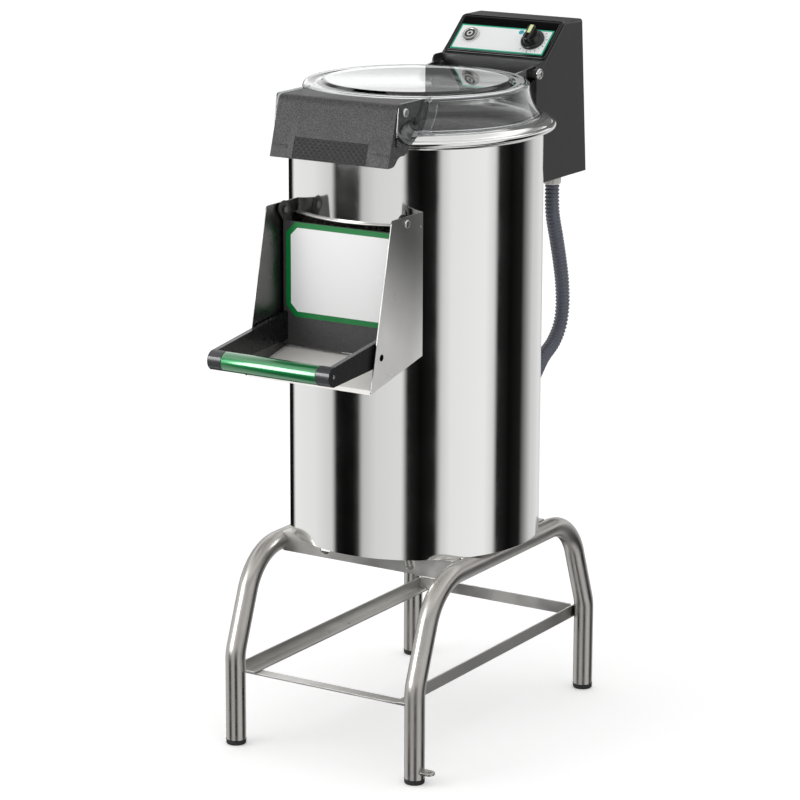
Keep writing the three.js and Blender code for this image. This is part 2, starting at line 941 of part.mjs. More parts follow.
// The shaft carries the disc between its shoulder washer and the top nut,
// and the pulley above the lower nut.
function mainShaft() {
  const { radius, nutRadius, nutHeight, washerRadius, washer, below } = shaft;
  const discFoot = discTop - disc.thickness - disc.hubLength;
  const turned = revolve(
    [
      [0, pulleyFoot - seat - nutHeight - below],
      [radius, pulleyFoot - seat - nutHeight - below],
      [radius, discFoot - seat - washer],
      [washerRadius, discFoot - seat - washer],
      [washerRadius, discFoot - seat],
      [radius, discFoot - seat],
      [radius, discTop + seat],
      [washerRadius, discTop + seat],
      [washerRadius, discTop + seat + washer],
      [0, discTop + seat + washer],
    ],
    sides.medium,
  );
  const hexagon = 6;
  const topNut = rod("z", nutRadius, discTop + seat, discTop + seat + washer + nutHeight, [0, 0], hexagon);
  const lowNut = rod("z", nutRadius, pulleyFoot - seat - nutHeight, pulleyFoot - seat, [0, 0], hexagon);
  return join(turned, topNut, lowNut);
}

// A dished disc with rounded waves on top that toss the load,
// and paddles below that sweep peel to the drain.
function peelingDisc() {
  const { radius, thickness, rim, hubRadius, hubLength } = disc;
  const foot = discTop - thickness;
  const plateBody = revolve(
    [
      [shaftBore, foot - hubLength],
      [hubRadius, foot - hubLength],
      [hubRadius, foot],
      [radius - rim, foot],
      [radius, foot + rim / 2],
      [radius, discTop + rim / 2],
      [radius - rim, discTop + rim / 2],
      [radius - 2 * rim, discTop],
      [shaftBore, discTop],
    ],
    sides.drum,
  );
  const each = (make) =>
    Array.from({ length: disc.waves }, (_, i) => make().rotate([0, 0, (360 * i) / disc.waves]));
  const wave = () => {
    const g = new THREE.SphereGeometry(1, sides.tiny, sides.tiny / 2);
    g.scale(disc.waveLength, disc.waveWidth, disc.waveHeight);
    return solid(g.translate(disc.wavePlace, 0, discTop));
  };
  const paddle = () => {
    const start = hubRadius - weld;
    const half = disc.paddleWidth / 2;
    return block(start, start + disc.paddleLength, -half, half, foot - disc.paddleDrop, foot + weld);
  };
  const below = block(
    -radius, radius, -radius, radius, foot - hubLength - overrun, discTop - thickness / 2,
  );
  return join(plateBody, ...each(wave).map((w) => cut(w, below)), ...each(paddle));
}

add("main_shaft", mainShaft(), stainless);
add("peeling_disc", peelingDisc(), abrasive);
add("driven_pulley", drivenPulley(), castMetal);

const motorPlateTop = pulleyFoot - pulley.flangeWidth;
const motorPlateFoot = motorPlateTop - motorPlate.thickness;
const motorTop = motorPlateFoot - seat;
const motorFoot = motorTop - motor.length;
const fanTop = motorFoot + motor.fanWidth + motor.cowlWall;

// Ribbed casing with a bore for the rotor, an end shield on top with its spigot,
// and a cowl below round the fan.
function motorBody() {
  const { radius, shield, rotorRadius, rotorGap, shaftRadius, spigotRadius, spigot, cowlWall } = motor;
  const bore = rotorRadius + rotorGap;
  const shaftHole = shaftRadius + seat;
  const body = revolve(
    [
      [bore, fanTop + cowlWall],
      [radius - cowlWall, fanTop + cowlWall],
      [radius - cowlWall, motorFoot],
      [radius, motorFoot],
      [radius, motorTop],
      [spigotRadius, motorTop],
      [spigotRadius, motorTop + spigot],
      [shaftHole, motorTop + spigot],
      [shaftHole, motorTop - shield],
      [bore, motorTop - shield],
    ],
    sides.medium,
    0,
    motor.offset,
  );
  const grooves = Array.from({ length: motor.fins }, (_, i) => {
    const deep = block(
      radius - motor.finDepth,
      radius + overrun,
      -motor.finWidth / 2,
      motor.finWidth / 2,
      fanTop + 2 * shield,
      motorTop - shield,
    );
    return deep.rotate([0, 0, (360 * i) / motor.fins]).translate([0, motor.offset, 0]);
  });
  return cut(body, ...grooves);
}

function motorRotor() {
  const {
    rotorRadius,
    shaftRadius,
    shield,
    rotorGap,
    fanRadius,
    fanBlades,
    bladeThickness,
    cowlWall,
  } = motor;
  const fanFoot = motorFoot + cowlWall;
  const turned = revolve(
    [
      [0, fanFoot],
      [shaftRadius, fanFoot],
      [shaftRadius, fanTop + 2 * cowlWall],
      [rotorRadius, fanTop + 3 * cowlWall],
      [rotorRadius, motorTop - shield - rotorGap],
      [shaftRadius, motorTop - shield - rotorGap],
      [shaftRadius, pulleyTop + seat],
      [0, pulleyTop + seat],
    ],
    sides.medium,
    0,
    motor.offset,
  );
  const hub = rod("z", 2 * shaftRadius, fanFoot, fanTop, [0, motor.offset]);
  const blades = Array.from({ length: fanBlades }, (_, i) =>
    block(shaftRadius, fanRadius, -bladeThickness / 2, bladeThickness / 2, fanFoot, fanTop - cowlWall)
      .rotate([0, 0, (360 * i) / fanBlades])
      .translate([0, motor.offset, 0]),
  );
  return join(turned, hub, ...blades);
}

// The motor hangs from this plate, which hangs from the chamber floor on four posts outside the belt.
function motorHanger() {
  const { thickness, margin, postRadius, postBack, postFront } = motorPlate;
  const postX = pulley.radius;
  const edge = postX + margin;
  const front = motor.offset - postFront;
  const back = motor.offset + postBack;
  const shape = roundedRectangle(-edge, edge, front - margin, back + margin, margin);
  const sheet = common(
    prismZ(shape, motorPlateFoot, motorPlateTop),
    rod("z", innerRadius - overrun, motorPlateFoot - overrun, motorPlateTop + overrun, [0, 0], sides.lid),
  );
  const hole = rod(
    "z",
    motor.spigotRadius + seat,
    motorPlateFoot - thickness,
    motorPlateTop + thickness,
    [0, motor.offset],
    sides.medium,
  );
  const posts = [-postX, postX].flatMap((x) =>
    [front, back].map(
      (y) => rod("z", postRadius, motorPlateTop - weld, floorLevel - seat, [x, y], sides.tiny),
    ),
  );
  return join(cut(sheet, hole), ...posts);
}

function motorPulley() {
  return groovedPulley(
    motor.pulleyRadius, motor.shaftRadius, motor.shaftRadius + seat, 0, motor.offset, sides.medium,
  );
}

add("motor_body", motorBody(), motorPaint);
add("motor_rotor", motorRotor(), castMetal);
add("motor_pulley", motorPulley(), castMetal);
add("motor_bracket", motorHanger(), brushed);

// The belt's loop round both pulleys: two arcs and the straight runs that touch them.
function beltLoop(extra) {
  const big = pulley.radius - pulley.groove + extra;
  const small = motor.pulleyRadius - pulley.groove + extra;
  const lean = Math.acos((big - small) / motor.offset);
  const degrees = THREE.MathUtils.radToDeg(lean);
  return [
    ...arc(0, 0, big, 90 + degrees, 450 - degrees, sides.medium),
    ...arc(0, motor.offset, small, 90 - degrees, 90 + degrees, sides.tiny),
  ];
}

function driveBelt() {
  const inner = beltLoop(seat + weld);
  const shape = outline(beltLoop(belt.thickness - seat));
  shape.holes.push(new THREE.Path(inner.map(([a, b]) => new THREE.Vector2(a, b))));
  const bottom = pulleyFoot + 2 * pulley.flangeWidth + seat;
  const top = pulleyTop - 2 * pulley.flangeWidth - seat;
  return prismZ(shape, bottom, top);
}

add("drive_belt", driveBelt(), rubber);

// A plate that closes the drum below, lying on the beams, with a ring of vent slots and the drain's hole.
function bottomCover() {
  const { thickness, slots, slotInner, slotOuter, slotWidth } = cover;
  const plateBody = rod("z", innerRadius - seat, shellFoot, shellFoot + thickness, [0, 0], sides.drum);
  const cutters = Array.from({ length: slots }, (_, i) =>
    block(
      slotInner,
      slotOuter,
      -slotWidth / 2,
      slotWidth / 2,
      shellFoot - overrun,
      shellFoot + thickness + overrun,
    )
      .rotate([0, 0, (360 * i) / slots]),
  );
  return cut(plateBody, drainCutter(drain.radius + seat), ...cutters);
}

add("bottom_cover", bottomCover(), brushed);

function drainPipe() {
  const { radius, wall, flange, flangeThickness, below, x, y } = drain;
  const top = floorLevel - seat;
  return revolve(
    [
      [radius - wall, shellFoot - below],
      [radius, shellFoot - below],
      [radius, top - flangeThickness],
      [radius + flange, top - flangeThickness],
      [radius + flange, top],
      [radius - wall, top],
    ],
    sides.small,
    x,
    y,
  );
}

add("drain_pipe", drainPipe(), brushed);

// A threaded stub through the rear wall, with a nut outside against the shell.
function waterInlet() {
  const z = shellTop - inlet.down;
  const surface = Math.sqrt(drum.radius ** 2 - inlet.x ** 2);
  const start = surface - inlet.inside - inlet.nutRadius;
  const end = surface + inlet.length;
  const stub = rod("y", inlet.radius, start, end, [inlet.x, z]);
  const nut = rod(
    "y",
    inlet.nutRadius,
    surface - inlet.nutRadius,
    surface + inlet.nut + inlet.nutRadius,
    [inlet.x, z],
    6,
  );
  const shell = rod(
    "z", drum.radius + seat, z - 2 * inlet.nutRadius, z + 2 * inlet.nutRadius, [0, 0], sides.drum,
  );
  const bore = rod("y", inlet.bore, start - overrun, end + overrun, [inlet.x, z]);
  return cut(join(stub, cut(nut, shell)), bore);
}

add("water_inlet", waterInlet(), castMetal);

// Chute

// The drum's own space, widened by a gap, cut out of what stands against the drum.
function drumSpaceWith(gap) {
  return rod("z", drum.radius + gap, shellFoot, shellTop, [0, 0], sides.drum);
}

const drumSpace = drumSpaceWith(seat);
const plateInner = chute.halfWidth - chute.sheet;
const chuteFootY = -(drum.radius + chute.footDepth);
const chuteTopY = -(drum.radius + chute.topDepth);
const heelY = -Math.sqrt(drum.radius ** 2 - chute.halfWidth ** 2);
const chuteFootZ = discTop - chute.footDrop;
const chuteHeelZ = discTop - chute.heelDrop;

// The right-hand plate with its hinge screw: button head outside, pin through the door's ear, nut inside.
function chutePlate() {
  const shape = roundedOutline([
    [heelY + overrun, chuteHeelZ],
    [heelY + overrun, chutePlateTop],
    [chuteTopY, chutePlateTop, chute.corner],
    [chuteFootY, chuteFootZ, chute.corner / 2],
  ]);
  const sheet = prismX(shape, plateInner, chute.halfWidth, 4);
  const hole = rod(
    "x",
    chute.holeRadius,
    plateInner - overrun,
    chute.halfWidth + overrun,
    [chuteFootY + chute.holeBack, chuteFootZ + chute.holeUp],
  );
  const at = [pivotY, pivotZ];
  const earInner = plateInner - door.sideGap - door.thickness;
  const pin = rod("x", door.pinRadius, earInner - seat - door.headHeight, chute.halfWidth, at, sides.tiny);
  const spacer = rod(
    "x", door.headRadius, plateInner - door.sideGap + seat, plateInner + weld, at, sides.tiny,
  );
  const nut = rod("x", door.headRadius, earInner - seat - door.headHeight, earInner - seat, at, 6);
  const head = rod(
    "x",
    door.headRadius,
    chute.halfWidth - weld,
    chute.halfWidth + door.headHeight,
    at,
    sides.tiny,
    door.pinRadius,
  );
  return join(cut(sheet, hole, drumSpace), pin, spacer, nut, head);
}

// The sloping floor lies between the plates along their lower edges, with its front edge folded down.
function chuteFloor() {
  const edge = plateInner - seat;
  const t = chute.sheet;
  const slope = (chuteHeelZ - chuteFootZ) / (heelY - chuteFootY);
  const top = (y) => chuteFootZ + 2 * t + slope * (y - chuteFootY);
  const y0 = chuteFootY + chute.fold / 2;
  const sheet = [
    [y0, top(y0)],
    [y0, top(y0) - t - chute.fold / 2],
    [y0 + t, top(y0) - t - chute.fold / 2],
    [y0 + t, top(y0) - t],
    [-drum.radius / 2, top(-drum.radius / 2) - t],
    [-drum.radius / 2, top(-drum.radius / 2)],
  ];
  return cut(prismX(sheet, -edge, edge), drumSpace);
}

add("chute_plate_right", chutePlate(), brushed);
add("chute_plate_left", mirrored(chutePlate()), brushed);
add("chute_floor", chuteFloor(), stainless);

// Door

const doorFace = -(drum.radius + door.standoff);
const doorHalf = plateInner - door.sideGap;
const doorTop = windowTop - door.topGap;
const doorFoot = discTop - door.bottomDrop;

// A folded panel: flat front, a return along each side, and rounded ears that rise to the hinge screws.
function doorPanel() {
  const { thickness: t, returnDepth, earRadius, pinRadius } = door;
  const front = block(-doorHalf, doorHalf, doorFace, doorFace + t, doorFoot, doorTop);
  const back = doorFace + returnDepth;
  const shape = new THREE.Shape();
  shape.moveTo(doorFace, doorFoot);
  shape.lineTo(back, doorFoot);
  shape.lineTo(back, doorTop);
  shape.lineTo(pivotY + earRadius, pivotZ);
  shape.absarc(pivotY, pivotZ, earRadius, 0, Math.PI);
  shape.lineTo(doorFace, doorTop);
  const hole = rod(
    "x", running(pinRadius), -doorHalf - overrun, doorHalf + overrun, [pivotY, pivotZ], sides.tiny,
  );
  const ears = [-doorHalf, doorHalf - t].map((x) => prismX(shape, x, x + t, 8));
  return cut(join(front, ...ears), hole, drumSpace);
}

// A film with chamfered corners on the panel's face.
function doorLabel() {
  const { halfWidth: w, thickness, bottomUp, topDown, chamfer: c } = label;
  const z0 = doorFoot + bottomUp;
  const z1 = doorTop - topDown;
  const corners = [
    [-w + c, z0],
    [w - c, z0],
    [w, z0 + c],
    [w, z1 - c],
    [w - c, z1],
    [-w + c, z1],
    [-w, z1 - c],
    [-w, z0 + c],
  ];
  return prismY(corners, doorFace - seat - thickness, doorFace - seat);
}

// The right-hand arm: deep at the door, round at the handle, with a collar that holds the tube's end.
function handleArm() {
  const { radius, armThickness, armTop, armBottom, collarLength, collarRadius } = handle;
  const root = doorFace - seat;
  const shape = new THREE.Shape();
  shape.moveTo(root, handleZ - armBottom);
  shape.lineTo(root, handleZ + armTop);
  shape.lineTo(handleY, handleZ + radius);
  shape.absarc(handleY, handleZ, radius, Math.PI / 2, 1.5 * Math.PI);
  const at = [handleY, handleZ];
  const arm = prismX(shape, doorHalf - armThickness, doorHalf, 10);
  const ring = rod("x", collarRadius, doorHalf - collarLength, doorHalf - weld, at, sides.small);
  const socket = rod(
    "x", handle.spigotRadius + seat, doorHalf - collarLength - overrun, doorHalf - armThickness, at,
  );
  const recess = rod(
    "x", handle.screwRadius, doorHalf - handle.screwDepth, doorHalf + overrun, at, sides.tiny,
  );
  const detentAt = [chuteFootY + chute.holeBack, chuteFootZ + chute.holeUp];
  const detent = rod(
    "x", handle.detentRadius, doorHalf - weld, doorHalf + door.sideGap / 2, detentAt, sides.tiny,
  );
  return cut(join(arm, ring, detent), socket, recess);
}

function handleTube() {
  const { radius, collarLength, spigotRadius, armThickness } = handle;
  const bare = doorHalf - collarLength - seat;
  const inside = doorHalf - armThickness - seat;
  const at = [handleY, handleZ];
  return join(
    rod("x", radius, -bare, bare, at, sides.small),
    rod("x", spigotRadius, -inside, inside, at, sides.small),
  );
}

add("door_panel", doorPanel(), greyPlastic);
add("door_label", doorLabel(), whiteFilm);
add("handle_arm_right", handleArm(), greyPlastic);
add("handle_arm_left", mirrored(handleArm()), greyPlastic);
add("handle_tube", handleTube(), greenMetal);

// Lid

// The dome's skirt, drawn in with height, and its rounded shoulder, a distance inside the outer surface.
function domeSide(inside, steps) {
  const { height, baseFlange, skirtFootRadius, skirtTopRadius, shoulderHeight, shoulderRadius } = lid;
  const skirt = Array.from({ length: steps + 1 }, (_, i) => {
    const u = i / steps;
    const z = baseFlange + (shoulderHeight - baseFlange) * u;
    return [skirtTopRadius + (skirtFootRadius - skirtTopRadius) * (1 - u) ** 2 - inside, lidFoot + z];
  });
  const edge = lidFoot + height - lid.ringDip - shoulderRadius;
  const shoulder = arc(skirtTopRadius - shoulderRadius, edge, shoulderRadius - inside, 20, 80, steps / 2);
  return [...skirt, ...shoulder];
}

// The dome's outer surface from its foot to the middle of the top, grown by a clearance.
function domeSurface(gap) {
  const { baseRadius, baseFlange, ringRadius, ringStep, ringDip } = lid;
  return [
    [baseRadius + gap, lidFoot - gap],
    [baseRadius + gap, lidFoot + baseFlange + gap],
    ...domeSide(-gap, 4),
    [ringRadius + 2 * ringStep, lidTop - 2 * ringDip + gap],
    [ringRadius + gap, lidTop - ringStep + gap],
    [ringRadius - ringStep + gap, lidTop + gap],
    [0, lidTop + gap],
  ];
}

function lidDome() {
  const inner = [
    [lid.skirtFootRadius - lid.wall, lidFoot],
    ...domeSide(lid.wall, 2),
    [0, lidTop - lid.wall - lid.ringDip],
  ];
  return revolve([...domeSurface(0).reverse(), ...inner], sides.lid);
}

// The space that the dome fills, with a clearance round it, as a cutter.
function domeSpace(gap) {
  return revolve([[0, lidFoot - gap], ...domeSurface(gap)], sides.lid);
}

add("lid_dome", lidDome(), clearPlastic);

const armOuter = box.halfWidth - hinge.armInset;
const armInner = armOuter - hinge.armThickness;

// The right-hand hinge arm: an eye round the pin, widening to a root against the dome's skirt.
function hingeArm() {
  const { eyeRadius, armRoot, armRootHeight, pinRadius } = hinge;
  const rootY = hingeY - armRoot;
  const top = hingeZ + eyeRadius / 2;
  const shape = new THREE.Shape();
  shape.moveTo(rootY, top - armRootHeight);
  shape.lineTo(hingeY, hingeZ - eyeRadius);
  shape.absarc(hingeY, hingeZ, eyeRadius, -Math.PI / 2, Math.PI / 2);
  shape.lineTo(rootY, top);
  const hole = rod(
    "x", running(pinRadius), armInner - overrun, armOuter + overrun, [hingeY, hingeZ], sides.tiny,
  );
  const blade = cut(prismX(shape, armInner, armOuter, 10), hole);
  // A pad across the blade's root spreads it on the skirt.
  const pad = block(
    armInner - 2 * hinge.armThickness,
    armOuter + hinge.armThickness / 2,
    rootY,
    rootY + hinge.armRoot / 2,
    top - armRootHeight + seat,
    top - armRootHeight / 3,
  );
  const shellOnly = cut(common(pad, domeSpace(seat + hinge.armThickness / 2)), domeSpace(seat));
  return join(cut(blade, domeSpace(seat)), shellOnly);
}

add("lid_hinge_arm_right", hingeArm(), stainless);
add("lid_hinge_arm_left", mirrored(hingeArm()), stainless);

const bracketInner = latch.halfWidth + bracket.gap;
const bracketOuter = bracketInner + bracket.sheet;

// The right-hand bracket: a plate beside the hood, flanged against the skirt, with the hood's screw.
function latchBracket() {
  const { topFront, footFront, topDown, footDown, corner, rear } = bracket;
  const top = lidTop - topDown;
  const bottom = lidTop - footDown;
  const front = -drum.radius;
  const shape = roundedOutline([
    [front - topFront, top, corner],
    [front - footFront, bottom, corner],
    [front - rear, bottom],
    [front - rear, top],
  ]);
  const sheet = prismX(shape, bracketInner, bracketOuter, 4);
  const rimCut = collarSpace(latch.rimGap);
  const tabBlank = block(
    bracketInner,
    bracketOuter + bracket.tabWidth,
    front,
    front - rear + bracket.tabWidth,
    lidFoot + lid.baseFlange + seat,
    lidFoot + lid.shoulderHeight,
  );
  const tab = common(tabBlank, domeSpace(seat + bracket.sheet));
  const at = [latchY, latchZ];
  const inner = latch.halfWidth - latch.wall;
  const pin = rod("x", latch.screwRadius, inner - seat - latch.headHeight, bracketOuter, at, sides.tiny);
  const head = rod(
    "x",
    latch.headRadius,
    bracketOuter - weld,
    bracketOuter + latch.headHeight,
    at,
    sides.tiny,
    latch.screwRadius,
  );
  const nut = rod("x", latch.headRadius, inner - seat - latch.headHeight, inner - seat, at, 6);
  return join(cut(join(sheet, tab), domeSpace(seat), rimCut), pin, head, nut);
}

add("latch_bracket_right", latchBracket(), clearPlastic);
add("latch_bracket_left", mirrored(latchBracket()), clearPlastic);

// The hood's side outline: top, rounded front edge, leaning face, lower lip, hook under the rim,
// and a rear edge that rises clear of the collar.
function hoodOutline(inset) {
  const { topFront, faceFront, topDown, footDown, topRadius } = latch;
  const { lipDepth, hookUp, hookFall, hookRun, sideRise } = latch;
  const front = -drum.radius;
  const top = lidTop - topDown - inset;
  const foot = lidTop - footDown - (inset > 0 ? overrun : 0);
  const rim = -Math.sqrt(rimRadius ** 2 - latch.halfWidth ** 2) - latch.rimGap;
  const hook = Math.min(front - faceFront + lipDepth + hookRun, rim);
  return roundedOutline([
    [front - topFront + inset, top, topRadius - inset],
    [front - faceFront + inset, foot],
    [front - faceFront + lipDepth, foot, inset > 0 ? 0 : hookUp / 2],
    [front - faceFront + lipDepth + hookUp, foot + hookUp, inset > 0 ? 0 : hookUp / 2],
    [hook, foot + hookUp + hookFall],
    [rim, shellTop - collar.skirt],
    [rim, seatLevel - hookUp / 2],
    [front + hookRun, seatLevel + sideRise / 2],
    [front + 2 * hookRun, seatLevel + sideRise],
    [front + 2 * hookRun, top],
  ]);
}

function latchHood() {
  const { halfWidth: w, wall, lidGap, gripHalfWidth, gripHeight, gripDepth, topDown, footDown } = latch;
  const front = -drum.radius;
  const outer = prismX(hoodOutline(0), -w, w, 4);
  const face = lidTop - topDown - wall;
  const foot = lidTop - footDown;
  const inner = roundedOutline([
    [front - latch.topFront + wall, face, latch.topRadius - wall],
    [front - latch.faceFront + wall, foot - overrun],
    [0, foot - overrun],
    [0, face],
  ]);
  const hollow = prismX(inner, -w + wall, w - wall, 4);
  const slopeY = (z) => {
    const u = (lidTop - topDown - z) / (footDown - topDown);
    return front - latch.topFront - (latch.faceFront - latch.topFront) * u;
  };
  const gripTop = foot + gripHeight;
  const grip = prismX(
    [
      [slopeY(gripTop) - overrun, gripTop],
      [slopeY(gripTop) + gripDepth, gripTop],
      [slopeY(foot - overrun) + gripDepth, foot - overrun],
      [slopeY(foot - overrun) - overrun, foot - overrun],
    ],
    -gripHalfWidth,
    gripHalfWidth,
  );
  const pins = rod(
    "x", running(latch.screwRadius), -w - overrun, w + overrun, [latchY, latchZ], sides.tiny,
  );
  const catchFoot = foot + latch.hookUp;
  const catches = [-w + wall - weld, w - wall + weld - latch.catchWidth].map((x) =>
    block(x, x + latch.catchWidth, slopeY(catchFoot), front, catchFoot, catchFoot + latch.catchHeight),
  );
  const hood = join(cut(outer, hollow, grip), ...catches);
  return cut(hood, domeSpace(lidGap), collarSpace(latch.rimGap), drumSpaceWith(latch.hookUp), pins);
}

add("latch_hood", latchHood(), greyPlastic);

// Control box

const boxFront = drum.radius + box.cheekBack;
const boxWall = drum.radius + box.wallBack;
const boxTopRear = panelHead.y + box.topDepth;

function boxOutline() {
  const shape = new THREE.Shape();
  const earZ = panelFoot.z - box.earRadius;
  shape.moveTo(boxFront, boxBottom);
  shape.lineTo(boxRear, boxBottom);
  shape.lineTo(boxTopRear, panelHead.z);
  shape.lineTo(panelHead.y, panelHead.z);
  shape.lineTo(panelFoot.y, panelFoot.z);
  shape.lineTo(boxFront + box.earRadius, panelFoot.z);
  shape.absarc(boxFront + box.earRadius, earZ, box.earRadius, Math.PI / 2, Math.PI);
  return shape;
}

const panelTilt = Math.atan2(box.panelRise, box.panelRun);
const panelLength = Math.hypot(box.panelRise, box.panelRun);

// Moves a shape drawn flat, with X across, Y up the slope and Z out of it, onto the panel's middle.
function onPanel(body) {
  const y = (panelFoot.y + panelHead.y) / 2;
  const z = (panelFoot.z + panelHead.z) / 2;
  return body.rotate([THREE.MathUtils.radToDeg(panelTilt), 0, 0]).translate([0, y, z]);
}

function controlBox() {
  const { halfWidth: w, sheet } = box;
  const outer = prismX(boxOutline(), -w, w, 6);
  const recess = block(-w + sheet, w - sheet, 0, boxWall, boxBottom - overrun, panelFoot.z + overrun);
  const slopeIn = sheet / Math.cos(panelTilt);
  const cavity = prismX(
    [
      [boxWall + sheet, boxBottom + sheet],
      [boxRear + overrun, boxBottom + sheet],
      [boxRear + overrun, panelHead.z - sheet],
      [panelHead.y + slopeIn, panelHead.z - sheet],
      [panelFoot.y + slopeIn, panelFoot.z - sheet],
      [boxWall + sheet, panelFoot.z - sheet],
    ],
    -w + sheet,
    w - sheet,
  );
  const opening = onPanel(
    block(
      -bezel.halfWidth + bezel.sideBand,
      bezel.halfWidth - bezel.sideBand,
      -bezel.halfHeight + bezel.bottomBand,
      bezel.halfHeight - bezel.topBand,
      -2 * sheet - overrun,
      overrun,
    ),
  );
  const glandHole = rod(
    "z",
    gland.neckRadius + seat,
    boxBottom - overrun,
    boxBottom + sheet + overrun,
    [conduit.x, topGlandY],
  );
  const mainsHole = rod(
    "z",
    mainsGland.neckRadius + seat,
    boxBottom - overrun,
    boxBottom + sheet + overrun,
    [mainsGland.x, topGlandY],
  );
  const at = [hingeY, hingeZ];
  const screw = (side) => {
    const pin = rod("x", hinge.pinRadius, armInner - seat - hinge.washer, w, at, sides.tiny);
    const washer = rod(
      "x", hinge.washerRadius, armInner - seat - hinge.washer, armInner - seat, at, sides.tiny,
    );
    const spacer = rod("x", hinge.washerRadius, armOuter + seat, w - sheet + weld, at, sides.tiny);
    const cup = rod(
      "x", hinge.cupRadius, w - weld, w + hinge.cup, at, sides.small, hinge.headRadius + hinge.cup,
    );
    const head = rod(
      "x", hinge.headRadius, w, w + hinge.cup + hinge.head, at, sides.small, hinge.headRadius / 2,
    );
    const made = join(pin, washer, spacer, cup, head);
    return side > 0 ? made : mirrored(made);
  };
  return join(cut(outer, recess, cavity, opening, glandHole, mainsHole), screw(1), screw(-1));
}


add("control_box", controlBox(), boxPaint);

// The cover fits the open back between the sides, on the slant of the rear edges.
function boxBackCover() {
  const { sheet, rearSlant } = box;
  const z0 = boxBottom + sheet + seat;
  const z1 = panelHead.z - sheet - seat;
  const slope = rearSlant / (panelHead.z - boxBottom);
  const rearAt = (z) => boxRear - slope * (z - boxBottom);
  const w = box.halfWidth - sheet - seat;
  return prismX(
    [
      [rearAt(z0) - sheet, z0],
      [rearAt(z0), z0],
      [rearAt(z1), z1],
      [rearAt(z1) - sheet, z1],
    ],
    -w,
    w,
  );
}

add("box_back_cover", boxBackCover(), boxPaint);

// A folded block between the drum's rear and the box's front wall, open above and below.
function boxMount() {
  const { halfWidth: w, height, down, sheet } = mountBlock;
  const top = shellTop - collar.skirt - down;
  const back = boxWall - seat;
  const blank = block(-w, w, drum.radius / 2, back, top - height, top);
  const hollow = block(-w + sheet, w - sheet, 0, back - sheet, top - height - overrun, top + overrun);
  return cut(blank, hollow, drumSpace);
}

add("box_mount", boxMount(), brushed);

// The moulded frame covers the slanted face, round the printed plate.
function panelBezel() {
  const { halfWidth: w, halfHeight: h, sideBand, topBand, bottomBand, proud, recess } = bezel;
  const frame = prismZ(roundedRectangle(-w, w, -h, h, sideBand / 2), seat, proud, 4);
  const face = block(-w + sideBand, w - sideBand, -h + bottomBand, h - topBand, 0, proud + overrun);
  const floor = block(
    -w + sideBand - weld,
    w - sideBand + weld,
    -h + bottomBand - weld,
    h - topBand + weld,
    seat,
    proud - recess - plate.thickness,
  );
  const holes = [
    rod("z", button.barrelRadius + seat, 0, proud + overrun, [button.x, button.v]),
    rod("z", timer.bossRadius + seat, 0, proud + overrun, [knob.x, knob.v]),
  ];
  return onPanel(cut(join(cut(frame, face), floor), ...holes));
}

add("panel_bezel", panelBezel(), blackPlastic);

const plateTop = bezel.proud - bezel.recess + seat;

function panelPlate() {
  const { halfWidth, halfHeight, sideBand, topBand, bottomBand } = bezel;
  const w = halfWidth - sideBand - seat;
  const low = -halfHeight + bottomBand + seat;
  const high = halfHeight - topBand - seat;
  const sheet = block(-w, w, low, high, plateTop - plate.thickness, plateTop);
  const holes = [
    rod("z", button.barrelRadius + seat, -overrun, plateTop + overrun, [button.x, button.v]),
    rod("z", timer.bossRadius + seat, -overrun, plateTop + overrun, [knob.x, knob.v]),
  ];
  return onPanel(cut(sheet, ...holes));
}

add("panel_plate", panelPlate(), whiteFilm);

// Metal collar on the plate, its barrel through the panel and the contact block behind, all one unit.
function buttonCollar() {
  const {
    collarRadius: r,
    collarHeight: h,
    barrelRadius,
    barrelLength,
    stemRadius,
    capRadius,
    x,
    v,
  } = button;
  const base = plateTop + seat;
  return revolve(
    [
      [capRadius + seat, base + h / 2],
      [capRadius + seat, base + h - h / 4],
      [capRadius + h / 4, base + h],
      [r - h / 2, base + h],
      [r, base + h / 2],
      [r, base],
      [barrelRadius, base],
      [barrelRadius, base - barrelLength],
      [stemRadius + seat, base - barrelLength],
      [stemRadius + seat, base - button.travel - seat],
      [capRadius + seat, base - button.travel - seat],
    ],
    sides.small,
    x,
    v,
  );
}

// The cap slides in its collar; its stem reaches down the barrel to the contacts.
function startButton() {
  const { capRadius, capHeight, stemRadius, barrelLength, travel, x, v } = button;
  const base = plateTop + seat;
  return revolve(
    [
      [0, base - barrelLength + travel + seat],
      [stemRadius, base - barrelLength + travel + seat],
      [stemRadius, base],
      [capRadius, base],
      [capRadius, base + capHeight - seat],
      [capRadius - 2 * seat, base + capHeight],
      [0, base + capHeight],
    ],
    sides.small,
    x,
    v,
  );
}

add("button_collar", onPanel(buttonCollar()), stainless);
add("start_button", onPanel(startButton()), whiteFilm);

